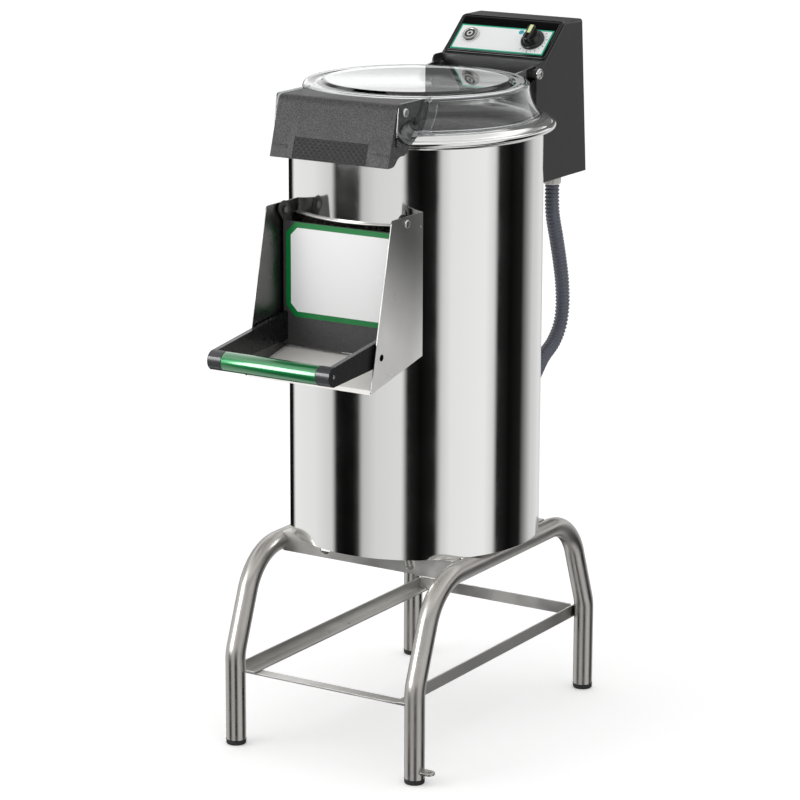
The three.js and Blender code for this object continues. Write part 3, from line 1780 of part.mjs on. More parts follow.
// Skirted knob with a raised grip bar, a pointer bar let into it, and the spindle below.
function timerKnob() {
  const {
    skirtRadius,
    skirtHeight,
    bodyRadius,
    height,
    barWidth,
    barLength,
    stemRadius,
    stemLength,
    lift,
  } = knob;
  const base = plateTop + lift;
  const turned = revolve(
    [
      [0, base - stemLength],
      [stemRadius, base - stemLength],
      [stemRadius, base],
      [skirtRadius, base],
      [skirtRadius, base + skirtHeight / 2],
      [skirtRadius - skirtHeight / 2, base + skirtHeight],
      [bodyRadius, base + skirtHeight + skirtHeight / 5],
      [bodyRadius - skirtHeight / 2, base + height * (2 / 3)],
      [0, base + height * (2 / 3)],
    ],
    sides.medium,
  );
  const half = barWidth / 2;
  const bar = prismZ(
    roundedOutline([
      [-half, -barLength / 2, half],
      [half, -barLength / 2, half],
      [half, barLength / 2, half / 3],
      [-half, barLength / 2, half / 3],
    ]),
    base + skirtHeight / 2,
    base + height,
    4,
  );
  const groove = block(
    -knob.pointerWidth / 2,
    knob.pointerWidth / 2,
    0,
    barLength / 2 + overrun,
    base + height - seat,
    base + height + overrun,
  );
  return cut(join(turned, bar), groove).translate([knob.x, knob.v, 0]);
}

add("timer_knob", onPanel(timerKnob()), blackPlastic);

// The timer hangs behind the plate on its threaded boss, bored for the knob's spindle.
function timerBody() {
  const { halfSize, depth, boss, bossRadius } = timer;
  const under = -2 * box.sheet;
  const body = prismZ(
    roundedRectangle(-halfSize, halfSize, -halfSize, halfSize, boss), under - depth, under, 3,
  );
  const neck = rod("z", bossRadius, under - weld, plateTop + knob.lift - seat, [0, 0]);
  const bore = rod(
    "z",
    knob.stemRadius + seat,
    plateTop + knob.lift - knob.stemLength - overrun,
    plateTop + overrun,
    [0, 0],
  );
  return cut(join(body, neck), bore).translate([knob.x, knob.v, 0]);
}

add("timer_body", onPanel(timerBody()), greyPlastic);

function lidSensorBlock() {
  const { x, width, height, depth, down } = lidSensor;
  const back = boxWall - seat;
  const top = hingeZ - down;
  return block(x - width / 2, x + width / 2, back - depth, back, top - height, top);
}

add("lid_sensor", lidSensorBlock(), blackPlastic);

// Conduit

// A gland: threaded neck through the wall, hexagon against it, round body down to the hose's end.
function glandBody(size, bore) {
  const neck = rod("z", size.neckRadius, -seat - weld, size.neckLength, [0, 0]);
  const nut = rod("z", size.nutRadius, -seat - size.nutHeight, -seat, [0, 0], 6);
  const body = rod(
    "z", size.radius, -seat - size.length, -seat - size.nutHeight + weld, [0, 0], sides.small,
  );
  const hole = rod("z", bore, -seat - size.length - overrun, size.neckLength + overrun, [0, 0], sides.tiny);
  return cut(join(neck, nut, body), hole);
}

add(
  "conduit_gland_top",
  glandBody(gland, conduit.bore).translate([conduit.x, topGlandY, boxBottom]),
  glandPlastic,
);
add(
  "mains_gland",
  glandBody(mainsGland, mainsGland.bore).translate([mainsGland.x, topGlandY, boxBottom]),
  glandPlastic,
);

// The lower gland points straight out of the drum's rear wall.
function lowerGland() {
  return outOfDrum(
    glandBody(gland, conduit.bore).rotate([90, 0, 0]).translate([0, drum.radius, glandLevel]),
  );
}

add("conduit_gland_bottom", lowerGland(), glandPlastic);

// The ribbed conduit's route: straight down from the upper gland, a loop backwards,
// and into the lower gland.
const hoseStart = new THREE.Vector3(conduit.x, topGlandY, boxBottom - gland.length - 2 * seat);
const hoseOut = new THREE.Vector3(Math.sin(glandAngle), Math.cos(glandAngle), 0);
const hoseEnd = hoseOut.clone().multiplyScalar(drum.radius + gland.length + 2 * seat);
hoseEnd.z = glandLevel;

function hosePoints() {
  const straight = 2 * conduit.radius;
  const drop = hoseStart.z - straight - hoseEnd.z;
  const free = routeShares.map(([back, down]) =>
    new THREE.Vector3(0, back * conduit.bulge, -straight - down * drop).add(hoseStart),
  );
  const above = hoseStart.clone().setZ(hoseStart.z - straight);
  const beyond = hoseEnd.clone().addScaledVector(hoseOut, straight);
  return [hoseStart, above, ...free, beyond, hoseEnd];
}

// A corrugated tube: two rings for each rib, and a plain bore with a ring every few ribs.
function ribbedHose() {
  const curve = new THREE.CatmullRomCurve3(hosePoints(), false, "centripetal");
  const length = curve.getLength();
  const ribs = Math.round(length / conduit.pitch);
  const points = conduit.points;
  const frames = (count) => {
    const list = [];
    for (let i = 0; i <= count; i++) {
      const u = i / count;
      const centre = curve.getPointAt(u);
      const ends = { 0: new THREE.Vector3(0, 0, -1), [count]: hoseOut.clone().negate() };
      const along = ends[i] ?? curve.getTangentAt(u);
      const across = new THREE.Vector3(1, 0, 0).cross(along).normalize();
      const side = along.clone().cross(across).normalize();
      list.push({ centre, across, side });
    }
    return list;
  };
  const positions = [];
  const index = [];
  const ring = ({ centre, across, side }, radius) => {
    const start = positions.length / 3;
    for (let k = 0; k < points; k++) {
      const t = (2 * Math.PI * k) / points;
      const p = centre.clone();
      p.addScaledVector(across, radius * Math.cos(t)).addScaledVector(side, radius * Math.sin(t));
      positions.push(p.x, p.y, p.z);
    }
    return start;
  };
  const bridge = (a, b) => {
    for (let k = 0; k < points; k++) {
      const next = (k + 1) % points;
      index.push(a + k, a + next, b + next, a + k, b + next, b + k);
    }
  };
  const outer = frames(2 * ribs).map(
    (f, i) => ring(f, i % 2 ? conduit.radius : conduit.radius - conduit.ribHeight),
  );
  const inner = frames(Math.ceil(ribs / 5)).map((f) => ring(f, conduit.bore));
  outer.slice(1).forEach((b, i) => bridge(outer[i], b));
  inner.slice(1).forEach((b, i) => bridge(b, inner[i]));
  bridge(inner[0], outer[0]);
  bridge(outer.at(-1), inner.at(-1));
  const g = new THREE.BufferGeometry();
  g.setAttribute("position", new THREE.Float32BufferAttribute(positions, 3));
  g.setIndex(index);
  return solid(g);
}

add("conduit", ribbedHose(), conduitPlastic);

// The machine is built round the drum's axis, then moved so that the origin is in the middle of its depth.
const extent = new THREE.Box3().setFromObject(machine, true);
machine.position.y = -(extent.min.y + extent.max.y) / 2;

export default group;
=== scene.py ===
"""Looks of a floor-standing electric potato peeler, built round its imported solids.

Sizes are in millimetres from the drum's axis and the floor, with the front towards -Y. The workshop turns
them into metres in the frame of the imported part.
"""

import json
import logging
import math
from dataclasses import dataclass, replace
from enum import Enum
from typing import Any, Callable, Sequence

import bmesh
import bpy
import numpy as np
from mathutils import Matrix, Vector

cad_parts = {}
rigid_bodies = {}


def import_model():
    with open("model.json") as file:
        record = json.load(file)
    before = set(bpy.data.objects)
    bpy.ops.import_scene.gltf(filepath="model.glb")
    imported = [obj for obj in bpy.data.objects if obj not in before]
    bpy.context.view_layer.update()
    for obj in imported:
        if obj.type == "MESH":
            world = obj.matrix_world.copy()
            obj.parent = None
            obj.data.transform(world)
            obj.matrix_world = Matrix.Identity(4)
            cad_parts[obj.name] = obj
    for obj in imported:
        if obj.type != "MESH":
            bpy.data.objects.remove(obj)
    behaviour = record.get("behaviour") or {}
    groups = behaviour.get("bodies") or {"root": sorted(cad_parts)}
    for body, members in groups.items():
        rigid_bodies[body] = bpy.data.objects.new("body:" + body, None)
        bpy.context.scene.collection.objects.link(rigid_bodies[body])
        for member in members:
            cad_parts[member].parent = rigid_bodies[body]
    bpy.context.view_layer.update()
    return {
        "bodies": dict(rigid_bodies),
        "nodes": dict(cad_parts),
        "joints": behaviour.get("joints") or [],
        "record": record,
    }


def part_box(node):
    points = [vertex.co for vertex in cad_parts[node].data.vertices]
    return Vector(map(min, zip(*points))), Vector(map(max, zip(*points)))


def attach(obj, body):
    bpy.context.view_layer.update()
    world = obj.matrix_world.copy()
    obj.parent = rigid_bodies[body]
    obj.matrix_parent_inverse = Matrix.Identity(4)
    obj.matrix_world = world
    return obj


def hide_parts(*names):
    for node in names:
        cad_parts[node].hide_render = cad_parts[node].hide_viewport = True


MM = 0.001
FULL = 2 * np.pi
TINY = 1e-6
Array = np.ndarray
Object = bpy.types.Object
Socket = bpy.types.NodeSocket
Pair = tuple[float, float]
Triple = tuple[float, float, float]
log = logging.getLogger("peeler")


# Colours and nodes

def linear(code: str) -> tuple[float, float, float, float]:
    """Turn an sRGB hex colour into linear light.

    Args:
        code: six hex digits.

    Returns:
        Red, green, blue and an alpha of 1, each channel c as ((c + 0.055) / 1.055) ** 2.4 above 0.04045.
    """
    parts = [int(code[i:i + 2], 16) / 255 for i in (0, 2, 4)]
    red, green, blue = (c / 12.92 if c <= 0.04045 else ((c + 0.055) / 1.055) ** 2.4 for c in parts)
    return red, green, blue, 1.0


class Nodes:
    """A node tree that is being filled."""

    def __init__(self, owner: bpy.types.Material | bpy.types.World, shaded: bool = True) -> None:
        """Turn on the nodes of a material or world.

        Args:
            owner: the material or world.
            shaded: whether its surface shader is kept; else the tree starts empty.
        """
        owner.use_nodes = True
        self.tree = owner.node_tree
        if shaded:
            self.shader = next(n for n in self.tree.nodes if n.type == "BSDF_PRINCIPLED")
        else:
            self.tree.nodes.clear()

    def fill(self, node: bpy.types.Node, inputs: dict[str | int, Any]) -> None:
        """Set a node's inputs.

        Args:
            node: the node.
            inputs: input name or number, with a value or the socket that feeds it.
        """
        for key, value in inputs.items():
            if isinstance(value, Socket):
                self.tree.links.new(value, node.inputs[key])
            else:
                node.inputs[key].default_value = value

    def add(self, kind: str, inputs: dict[str | int, Any], output: str | int = 0, **settings: Any) -> Socket:
        """Add one node.

        Args:
            kind: its type, without the leading ShaderNode.
            inputs: input name or number, with a value or the socket that feeds it.
            output: name or number of the output that is wanted.
            settings: properties of the node itself.

        Returns:
            That output.
        """
        node = self.tree.nodes.new("ShaderNode" + kind)
        for key, value in settings.items():
            setattr(node, key, value)
        self.fill(node, inputs)
        return node.outputs[output]

    def shade(self, inputs: dict[str, Any]) -> None:
        """Set the shader's inputs."""
        self.fill(self.shader, inputs)

    def surface(self, kind: str, light: Socket) -> None:
        """End the tree in a surface output for a material or world."""
        self.fill(self.tree.nodes.new("ShaderNodeOutput" + kind), {"Surface": light})

    def maths(self, operation: str, a: Any, b: Any = 0.0) -> Socket:
        """Return the output of one Math node."""
        return self.add("Math", {0: a, 1: b}, operation=operation)

    def reach(self, where: Socket, axis: Sequence[float]) -> Socket:
        """Return how far a vector reaches along an axis."""
        return self.add("VectorMath", {0: where, 1: tuple(axis)}, "Value", operation="DOT_PRODUCT")

    def place(self, stretch: Triple = (1.0, 1.0, 1.0)) -> Socket:
        """Return Object coordinates in metres, times a scale on each axis."""
        return self.add("Mapping", {"Vector": self.add("TexCoord", {}, "Object"), "Scale": stretch})

    def noise(self, size_mm: float, detail: float, stretch: Triple = (1.0, 1.0, 1.0),
              rough: float = 0.5) -> Socket:
        """Return noise from 0 to 1 in patches of one size."""
        return self.add("TexNoise", {"Vector": self.place(stretch), "Scale": 1 / MM / size_mm,
                                     "Detail": detail, "Roughness": rough}, "Fac")

    def mottle(self, size_mm: float, middle: float, share: float) -> None:
        """Let the roughness wander over patches of one size.

        Args:
            size_mm: the patches' size.
            middle: the roughness about which it wanders.
            share: how far it wanders, as a share of the middle.
        """
        self.shade({"Roughness": self.add("MapRange", {
            "Value": self.noise(size_mm, 3.0), "From Min": 0.3, "From Max": 0.7,
            "To Min": middle * (1 - share), "To Max": middle * (1 + share)})})

    def bump(self, height: Socket, depth_mm: float, strength: float) -> None:
        """Raise the surface by a height from 0 to 1 over a depth."""
        made = self.add("Bump", {"Height": height, "Distance": depth_mm * MM, "Strength": strength})
        self.shade({"Normal": made})

    def mix(self, share: Socket, first: Any, second: Any) -> Socket:
        """Return a colour that runs from a first to a second by a share."""
        return self.add("Mix", {0: share, 6: first, 7: second}, 2, data_type="RGBA")

    def tint(self, share: Socket, first: str, second: str) -> None:
        """Let the shader's colour run from a first to a second by a share."""
        self.shade({"Base Color": self.mix(share, linear(first), linear(second))})

    def ramp(self, value: Socket, stops: Sequence[tuple[float, str]], low: float, high: float) -> Socket:
        """Add a colour ramp.

        Args:
            value: what goes in, from 0 to 1.
            stops: where each shade stands on the scale from low to high, and the shade.
            low: the scale's start.
            high: its end.

        Returns:
            The colour.
        """
        colour = self.add("ValToRGB", {0: value})
        elements = colour.node.color_ramp.elements
        while len(elements) < len(stops):
            elements.new(0.5)
        for element, (spot, shade) in zip(elements, stops):
            element.position, element.color = (spot - low) / (high - low), linear(shade)
        return colour


# Finishes

class Grain(Enum):
    """How a brushed surface's fine lines run, as a stretch on each axis."""

    NONE = (1.0, 1.0, 1.0)
    AROUND = (0.04, 0.04, 1.0)
    UPRIGHT = (1.0, 1.0, 0.03)
    ALONG_Y = (1.0, 0.03, 1.0)
    ALONG_X = (0.03, 1.0, 1.0)


@dataclass(frozen=True)
class Finish:
    """A real surface: its colour and gloss, before any pattern."""

    name: str
    colour: str
    roughness: float
    metallic: float = 0.0

    def material(self) -> bpy.types.Material:
        """Make this finish's material on first use.

        Returns:
            The material.
        """
        made = bpy.data.materials.get(self.name)
        if not made:
            made = bpy.data.materials.new(self.name)
            nodes = Nodes(made)
            nodes.shade({"Base Color": linear(self.colour), "Roughness": self.roughness,
                         "Metallic": self.metallic})
            self.pattern(nodes)
        return made

    def pattern(self, nodes: Nodes) -> None:
        """Add what makes the surface more than one colour; here a soft mottle in its gloss."""
        nodes.mottle(25.0, self.roughness, 0.15)


@dataclass(frozen=True)
class Steel(Finish):
    """Stainless sheet or tube: metal with fine lines from its polishing belt or wheel, in millimetres."""

    metallic: float = 1.0
    grain: Grain = Grain.NONE
    width: float = 0.9  # real lines are near 0.05; drawn coarser so that they show
    depth: float = 0.01

    def pattern(self, nodes: Nodes) -> None:
        """Draw fine parallel lines in the height, and slow clouds in the gloss."""
        nodes.bump(nodes.noise(self.width, 2.0, self.grain.value), self.depth, 0.35)
        nodes.mottle(60.0, self.roughness, 0.25)


@dataclass(frozen=True)
class PaintedShadeSteel(Steel):
    """Ground sheet whose grey is painted to deepen across it: painted reflection of a lit and a dark room."""

    # deep is the painted shade's grey; pale_at and deep_at are where the painted light and the painted shade
    # are strongest
    deep: str = "6a6a69"
    pale_at: Pair = (-300.0, 700.0)  # y and z
    deep_at: Pair = (-190.0, 860.0)

    def pattern(self, nodes: Nodes) -> None:
        """Lay the ground lines over a painted shade that follows the share of the way between the two spots.

        Args:
            nodes: the material's nodes.
        """
        super().pattern(nodes)
        way = np.subtract(self.deep_at, self.pale_at)
        axis = way / (way @ way) / MM
        start = float(axis @ np.array(self.pale_at)) * MM
        along = nodes.reach(nodes.place(), (0.0, *axis.tolist()))
        share = nodes.add("MapRange", {"Value": along, "From Min": start, "From Max": start + 1.0},
                          interpolation_type="SMOOTHSTEP")
        # painted light and shade: the base colour darkens from the pale spot to the deep one
        nodes.tint(share, self.colour, self.deep)


@dataclass(frozen=True)
class Plastic(Finish):
    """Moulded plastic: a spark-eroded grain, in millimetres, slightly lighter on its raised grains."""

    size: float = 1.6
    depth: float = 0.12
    fleck: str = ""
    shine: float = 0.5  # how much a rubbed or waxy skin mirrors

    def pattern(self, nodes: Nodes) -> None:
        """Put a leathery grain in the height, flecks in the colour, and a little wander in the gloss.

        Args:
            nodes: the material's nodes.
        """
        grain = nodes.noise(self.size, 4.0, rough=0.6)
        nodes.shade({"Specular IOR Level": self.shine})
        nodes.bump(grain, self.depth, 0.6)
        if self.fleck:
            share = nodes.add("MapRange", {"Value": grain, "From Min": 0.42, "From Max": 0.62})
            nodes.tint(share, self.colour, self.fleck)
        nodes.mottle(18.0, self.roughness, 0.1)


@dataclass(frozen=True)
class GlossPaint(Finish):
    """Lacquer over metallic paint: a hard clear coat that shows lamps as white streaks."""

    metallic: float = 0.65

    def pattern(self, nodes: Nodes) -> None:
        """Lay a smooth clear coat over paint that wanders a little in gloss."""
        nodes.shade({"Coat Weight": 1.0, "Coat Roughness": 0.12, "Coat IOR": 1.8})
        nodes.mottle(30.0, self.roughness, 0.08)


@dataclass(frozen=True)
class ClearPlastic(Finish):
    """Polycarbonate: clear and hard, faintly grey in its thickness, with fine wiping marks."""

    def pattern(self, nodes: Nodes) -> None:
        """Let light through, and let the gloss wander with wiping marks."""
        nodes.shade({"Transmission Weight": 1.0, "IOR": 1.58})
        nodes.mottle(40.0, self.roughness, 0.5)


@dataclass(frozen=True)
class AbrasiveCoat(Finish):
    """Silicon carbide grit set in resin: coarse, dull and nearly black, with paler grains."""

    grit_mm: float = 2.4
    pale: str = "6a665f"

    def pattern(self, nodes: Nodes) -> None:
        """Set round grains in the height, each with its own grey.

        Args:
            nodes: the material's nodes.
        """
        grains = nodes.add("TexVoronoi", {"Vector": nodes.place(), "Scale": 1 / MM / self.grit_mm})
        nodes.bump(grains, 0.8, 1.0)
        nodes.tint(nodes.add("SeparateColor", {0: grains.node.outputs["Color"]}), self.colour, self.pale)


@dataclass(frozen=True)
class BorderedFilm(Finish):
    """Printed polyester film: white, with a coloured border that follows its chamfered outline."""

    border: str = "007c38"
    centre: Pair = (0.0, 0.0)
    half: Pair = (10.0, 10.0)
    chamfer: float = 0.0
    band: float = 8.5
    from_map: bool = False

    def pattern(self, nodes: Nodes) -> None:
        """Colour the border, where max(|x| - w, |z| - h, (|x| + |z| - w - h + chamfer) / sqrt 2) > -band.

        Args:
            nodes: the material's nodes.
        """
        source = nodes.add("TexCoord", {}, "UV" if self.from_map else "Object")
        parts = nodes.add("SeparateXYZ", {0: source}).node.outputs
        unit, second = (1.0, parts[1]) if self.from_map else (MM, parts[2])
        (w, h), maths = self.half, nodes.maths
        x, z = (maths("ABSOLUTE", maths("SUBTRACT", part, middle * unit))
                for part, middle in zip((parts[0], second), self.centre))
        slant = maths("SUBTRACT", maths("ADD", x, z), (w + h - self.chamfer) * unit)
        side = maths("MAXIMUM", maths("SUBTRACT", x, w * unit), maths("SUBTRACT", z, h * unit))
        edge = maths("MAXIMUM", side, maths("DIVIDE", slant, math.sqrt(2)))
        nodes.tint(maths("GREATER_THAN", edge, -self.band * unit), self.colour, self.border)
        nodes.shade({"Specular IOR Level": 0.3})
        nodes.mottle(30.0, self.roughness, 0.1)


@dataclass(frozen=True)
class FloorPaint(Finish):
    """Matt paint that glows a little, so that the floor fades into the background."""

    def pattern(self, nodes: Nodes) -> None:
        """Add a faint glow to the plain finish."""
        super().pattern(nodes)
        nodes.shade({"Emission Color": linear("ffffff"), "Emission Strength": 0.24})


class Finishes:
    """Every finish on the machine, and the floor's."""

    drum = Steel("mirror_polished_stainless", "e9e9e7", 0.085, grain=Grain.AROUND, depth=0.003)
    collar = Steel("spun_polished_stainless", "e2e2e0", 0.10, grain=Grain.AROUND, depth=0.006)
    plate = Steel("belt_ground_stainless", "d9d8d5", 0.34, 0.72, Grain.UPRIGHT, depth=0.003)
    # lit and shaded copies of one steel: plate_lit carries a painted light-to-shade gradient, plate_shaded is
    # a darker copy, painted shade
    plate_lit = PaintedShadeSteel("belt_ground_stainless_outside", "f8f7f4", 0.34, 0.55, Grain.UPRIGHT, depth=0.003)
    plate_shaded = Steel("belt_ground_stainless_inside", "6e6e6d", 0.3, grain=Grain.UPRIGHT, depth=0.003)
    hinge = Steel("satin_stainless_plate", "a0a09f", 0.16, grain=Grain.ALONG_Y, depth=0.002)
    tube = Steel("satin_stainless_tube", "b0ada9", 0.31, grain=Grain.UPRIGHT, depth=0.004, width=1.6)
    rail = Steel("cold_rolled_stainless", "cfcecb", 0.36, grain=Grain.ALONG_X, depth=0.004)
    chute = Steel("satin_chute_floor", "faf7f3", 0.45, 0.04, Grain.ALONG_Y, depth=0.003)
    screw = Steel("turned_stainless_screw", "d2d2d0", 0.16, grain=Grain.AROUND)
    inner_steel = Steel("plain_stainless", "a8a7a3", 0.4)
    hood = Plastic("grained_grey_abs", "363636", 0.5, size=1.7, depth=0.22, fleck="5a5a5a", shine=0.22)
    grip = Plastic("chequered_grey_abs", "252525", 0.46, size=1.2, depth=0.05, shine=0.2)
    door = Plastic("grained_charcoal_abs", "363636", 0.55, size=1.8, depth=0.25, fleck="424242", shine=0.35)
    arm = Plastic("satin_black_polyamide", "141415", 0.28, size=1.2, depth=0.06)
    cap = Plastic("satin_grey_collar", "3c3d3f", 0.22, size=1.2, depth=0.03)
    case = Plastic("textured_charcoal_paint", "29292a", 0.36, size=1.4, depth=0.06, fleck="2f2f30")
    bezel = Plastic("satin_black_abs", "0d0d0e", 0.16, size=1.0, depth=0.02)
    knob = Plastic("glossy_black_abs", "121213", 0.2, size=1.0, depth=0.01)
    pointer = Plastic("pale_yellow_inlay", "dfeaa6", 0.45, size=1.0, depth=0.01)
    foot = Plastic("black_rubber_cap", "1a1a1a", 0.75, size=1.5, depth=0.1)
    rubber = Plastic("black_rubber", "161616", 0.85, size=1.0, depth=0.05)
    hose = Plastic("slate_grey_pvc_hose", "555863", 0.3, size=1.5, depth=0.03)
    gland = Plastic("grey_polyamide_gland", "cccac6", 0.45, size=1.2, depth=0.05)
    handle = GlossPaint("green_lacquered_tube", "08783e", 0.36)
    lid = ClearPlastic("clear_polycarbonate", "e6e8e8", 0.02)
    bracket = ClearPlastic("clear_polycarbonate_plate", "b4b8b8", 0.03)
    grit = AbrasiveCoat("carbide_grit_coat", "23221f", 0.95)
    film = BorderedFilm("bordered_white_film", "fafafa", 0.35, centre=(0.0, 769.55), half=(103.0, 74.25),
                        chamfer=17.0)
    panel = BorderedFilm("striped_white_film", "f3f4f4", 0.3, border="2fb08c", half=(86.4, 26.7), band=2.6,
                         from_map=True)
    print_dark = Plastic("dark_print", "2b2d30", 0.5, depth=0.01)
    print_teal = Plastic("teal_print", "18a5ac", 0.5, depth=0.01)
    button = Plastic("smooth_white_cap", "d9d9d7", 0.3, depth=0.01)
    cast = Finish("cast_aluminium", "8f9193", 0.55, 1.0)
    brass = Finish("turned_brass", "b9975a", 0.3, 1.0)
    motor = Plastic("motor_paint", "5d6670", 0.55, size=3.0, depth=0.2)
    floor = FloorPaint("pale_floor_paint", "fbfbfb", 0.9)


# Surfaces

@dataclass(frozen=True)
class Surface:
    """Points in millimetres, the faces between them, and for a film each point's place on its chart."""

    points: Array
    faces: list[tuple[int, ...]]
    chart: Array | None = None


def xyz(x: Any, y: Any, z: Any) -> Array:
    """Return points [..., 3] from coordinates that are spread to one shape."""
    return np.stack(np.broadcast_arrays(x, y, z), axis=-1)


def turns(count: int) -> Array:
    """Return a full turn in equal steps, in radians, as a column."""
    return np.linspace(0, FULL, count, endpoint=False)[:, None]


def arc(x: float, y: float, radius: float, start: float, end: float, steps: int) -> list[Pair]:
    """Return points on a circle from one angle in degrees to another."""
    angle = np.radians(np.linspace(start, end, steps + 1))
    return list(zip(x + radius * np.cos(angle), y + radius * np.sin(angle)))


def bulged(wave: Array, power: float) -> Array:
    """Return a wave from -1 to 1 pressed outwards: its sign times its size to a power below 1."""
    return np.sign(wave) * np.abs(wave) ** power


def grid(points: Array, loop_u: bool = False, loop_v: bool = False) -> Surface:
    """Join a grid of points by quads.

    Args:
        points: array [u, v, 3]; the face at (u, v) runs to (u + 1, v), (u + 1, v + 1) and (u, v + 1).
        loop_u: whether the last row joins the first.
        loop_v: whether the last column joins the first.

    Returns:
        The surface, its points in row order.
    """
    rows, columns = points.shape[:2]
    u = np.arange(rows if loop_u else rows - 1)[:, None]
    v = np.arange(columns if loop_v else columns - 1)[None]
    here, down, right = u * columns, (u + 1) % rows * columns, (v + 1) % columns
    quads = np.stack([here + v, down + v, down + right, here + right], axis=-1).reshape(-1, 4)
    return Surface(points.reshape(-1, 3), [tuple(q) for q in quads.tolist()])


def swept(path: Array, radii: Array, count: int) -> Array:
    """Carry a circle along a path: centre + r (cos t side + sin t across), both square to the path.

    Args:
        path: centres [n, 3], on a path that never runs along X.
        radii: the circle's radius at each centre.
        count: steps round the circle.

    Returns:
        Points [n, count, 3].
    """
    along = np.gradient(path, axis=0)
    along /= np.linalg.norm(along, axis=1, keepdims=True)
    across = np.cross([1.0, 0.0, 0.0], along)
    across /= np.linalg.norm(across, axis=1, keepdims=True)
    side = np.cross(along, across)
    offset = np.cos(turns(count)) * side[:, None] + np.sin(turns(count)) * across[:, None]
    return path[:, None] + np.asarray(radii)[:, None, None] * offset


def capped(points: Array) -> Surface:
    """Join rings into a tube.

    Args:
        points: the rings [n, count, 3].

    Returns:
        The tube, both its ends closed with flat faces.
    """
    body, (rows, count) = grid(points, loop_v=True), points.shape[:2]
    end = range(rows * count - 1, (rows - 1) * count - 1, -1)
    return Surface(body.points, [*body.faces, tuple(range(count)), tuple(end)])


def slab(front: Array, back: Array) -> Surface:
    """Close the space between two grids of the same shape.

    Args:
        front: points [u, v, 3] of one side.
        back: points [u, v, 3] of the other side.

    Returns:
        A closed surface: both sides, and walls along their four edges.
    """
    a, b = grid(front), grid(back)
    rows, columns = front.shape[:2]
    size = rows * columns
    rim = np.concatenate([
        np.arange(columns), np.arange(1, rows) * columns + columns - 1,
        (rows - 1) * columns + np.arange(columns - 2, -1, -1), np.arange(rows - 2, 0, -1) * columns])
    following = np.roll(rim, -1)
    walls = np.stack([rim, following, following + size, rim + size], axis=-1)
    flipped = [tuple(size + i for i in reversed(face)) for face in b.faces]
    return Surface(np.vstack([a.points, b.points]), a.faces + flipped + [tuple(w) for w in walls.tolist()])


def flat(x: Array, y: Array, high: float, low: float) -> Surface:
    """Return a flat slab over a grid of x and y, between two levels."""
    return slab(xyz(x, y, high), xyz(x, y, low))


def frame_loop(half: float, low: float, high: float, corner: float, across: int, up: int) -> Array:
    """Walk round a rounded rectangle in the plane.

    Args:
        half: half its width.
        low: its lower edge.
        high: its upper edge.
        corner: corner radius; points of the square outline beyond the arc's centre are pulled onto the arc.
        across: steps along the lower and upper edges.
        up: steps along the sides.

    Returns:
        Points [2 (across + up), 2], anticlockwise from the lower left corner.
    """
    x, z = np.linspace(-half, half, across + 1), np.linspace(low, high, up + 1)
    outline = np.concatenate([
        np.stack([x[:-1], np.full(across, low)], -1), np.stack([np.full(up, half), z[:-1]], -1),
        np.stack([x[:0:-1], np.full(across, high)], -1), np.stack([np.full(up, -half), z[:0:-1]], -1)])
    if not corner:
        return outline
    middle = np.array([0.0, (low + high) / 2])
    reach = np.array([half - corner, (high - low) / 2 - corner])
    offset = outline - middle
    beyond = np.abs(offset) - reach
    pulled = beyond / np.maximum(np.linalg.norm(beyond, axis=1, keepdims=True), TINY) * corner
    in_corner = np.all(beyond > 0, axis=1)[:, None]
    return np.where(in_corner, np.sign(offset) * (reach + pulled), offset) + middle


@dataclass(frozen=True)
class Place:
    """A spot on the machine with its own directions."""

    origin: Triple = (0.0, 0.0, 0.0)
    across: Triple = (1.0, 0.0, 0.0)
    up: Triple = (0.0, 1.0, 0.0)
    out: Triple = (0.0, 0.0, 1.0)

    def put(self, points: Array) -> Array:
        """Carry points drawn with X across, Y up and Z out to this spot."""
        return points @ np.array([self.across, self.up, self.out]) + np.array(self.origin)

    def carry(self, shape: Surface) -> Surface:
        """Carry a surface to this spot in the same way."""
        return replace(shape, points=self.put(shape.points))

    def moved(self, across: float, up: float, out: float = 0.0) -> "Place":
        """Return the same directions at a spot shifted within them."""
        return replace(self, origin=tuple(self.put(np.array([across, up, out])).tolist()))

    def lathe(self, radii: Array, levels: Array, closed: bool = False) -> Surface:
        """Join rings round the way out: the point (r, z) at angle t is (r cos t, r sin t, z).

        Args:
            radii: the radius [angle, level], at equal steps of a full turn.
            levels: the height z of each level.
            closed: whether the last level joins the first.

        Returns:
            The surface.
        """
        t = turns(len(radii))
        return grid(self.put(xyz(radii * np.cos(t), radii * np.sin(t), levels)), loop_u=True, loop_v=closed)

    def turned(self, profile: Sequence[Pair], count: int = 96, closed: bool = False) -> Surface:
        """Turn a profile of radii and heights round the way out, in a count of steps."""
        radii, levels = np.asarray(profile, float).T
        return self.lathe(np.tile(radii, (count, 1)), levels, closed)


class Side(Enum):
    """The machine's sides, by the sign of x."""

    LEFT = -1.0
    RIGHT = 1.0

    def named(self, name: str) -> str:
        """Return a name with this side's own behind it."""
        return f"{name}_{self.name.lower()}"

    def spot(self, reach: float, y: float, z: float) -> Place:
        """Return a spot a reach out on this side, facing outwards."""
        sign = self.value
        return Place((sign * reach, y, z), (0.0, sign, 0.0), (0.0, 0.0, 1.0), (sign, 0.0, 0.0))


RIGHT_FIRST = (Side.RIGHT, Side.LEFT)


def in_scene(name: str, data: bpy.types.ID) -> Object:
    """Put data in the scene.

    Args:
        name: the new object's name.
        data: its mesh, lamp or camera.

    Returns:
        The new object.
    """
    made = bpy.data.objects.new(name, data)
    bpy.context.scene.collection.objects.link(made)
    return made


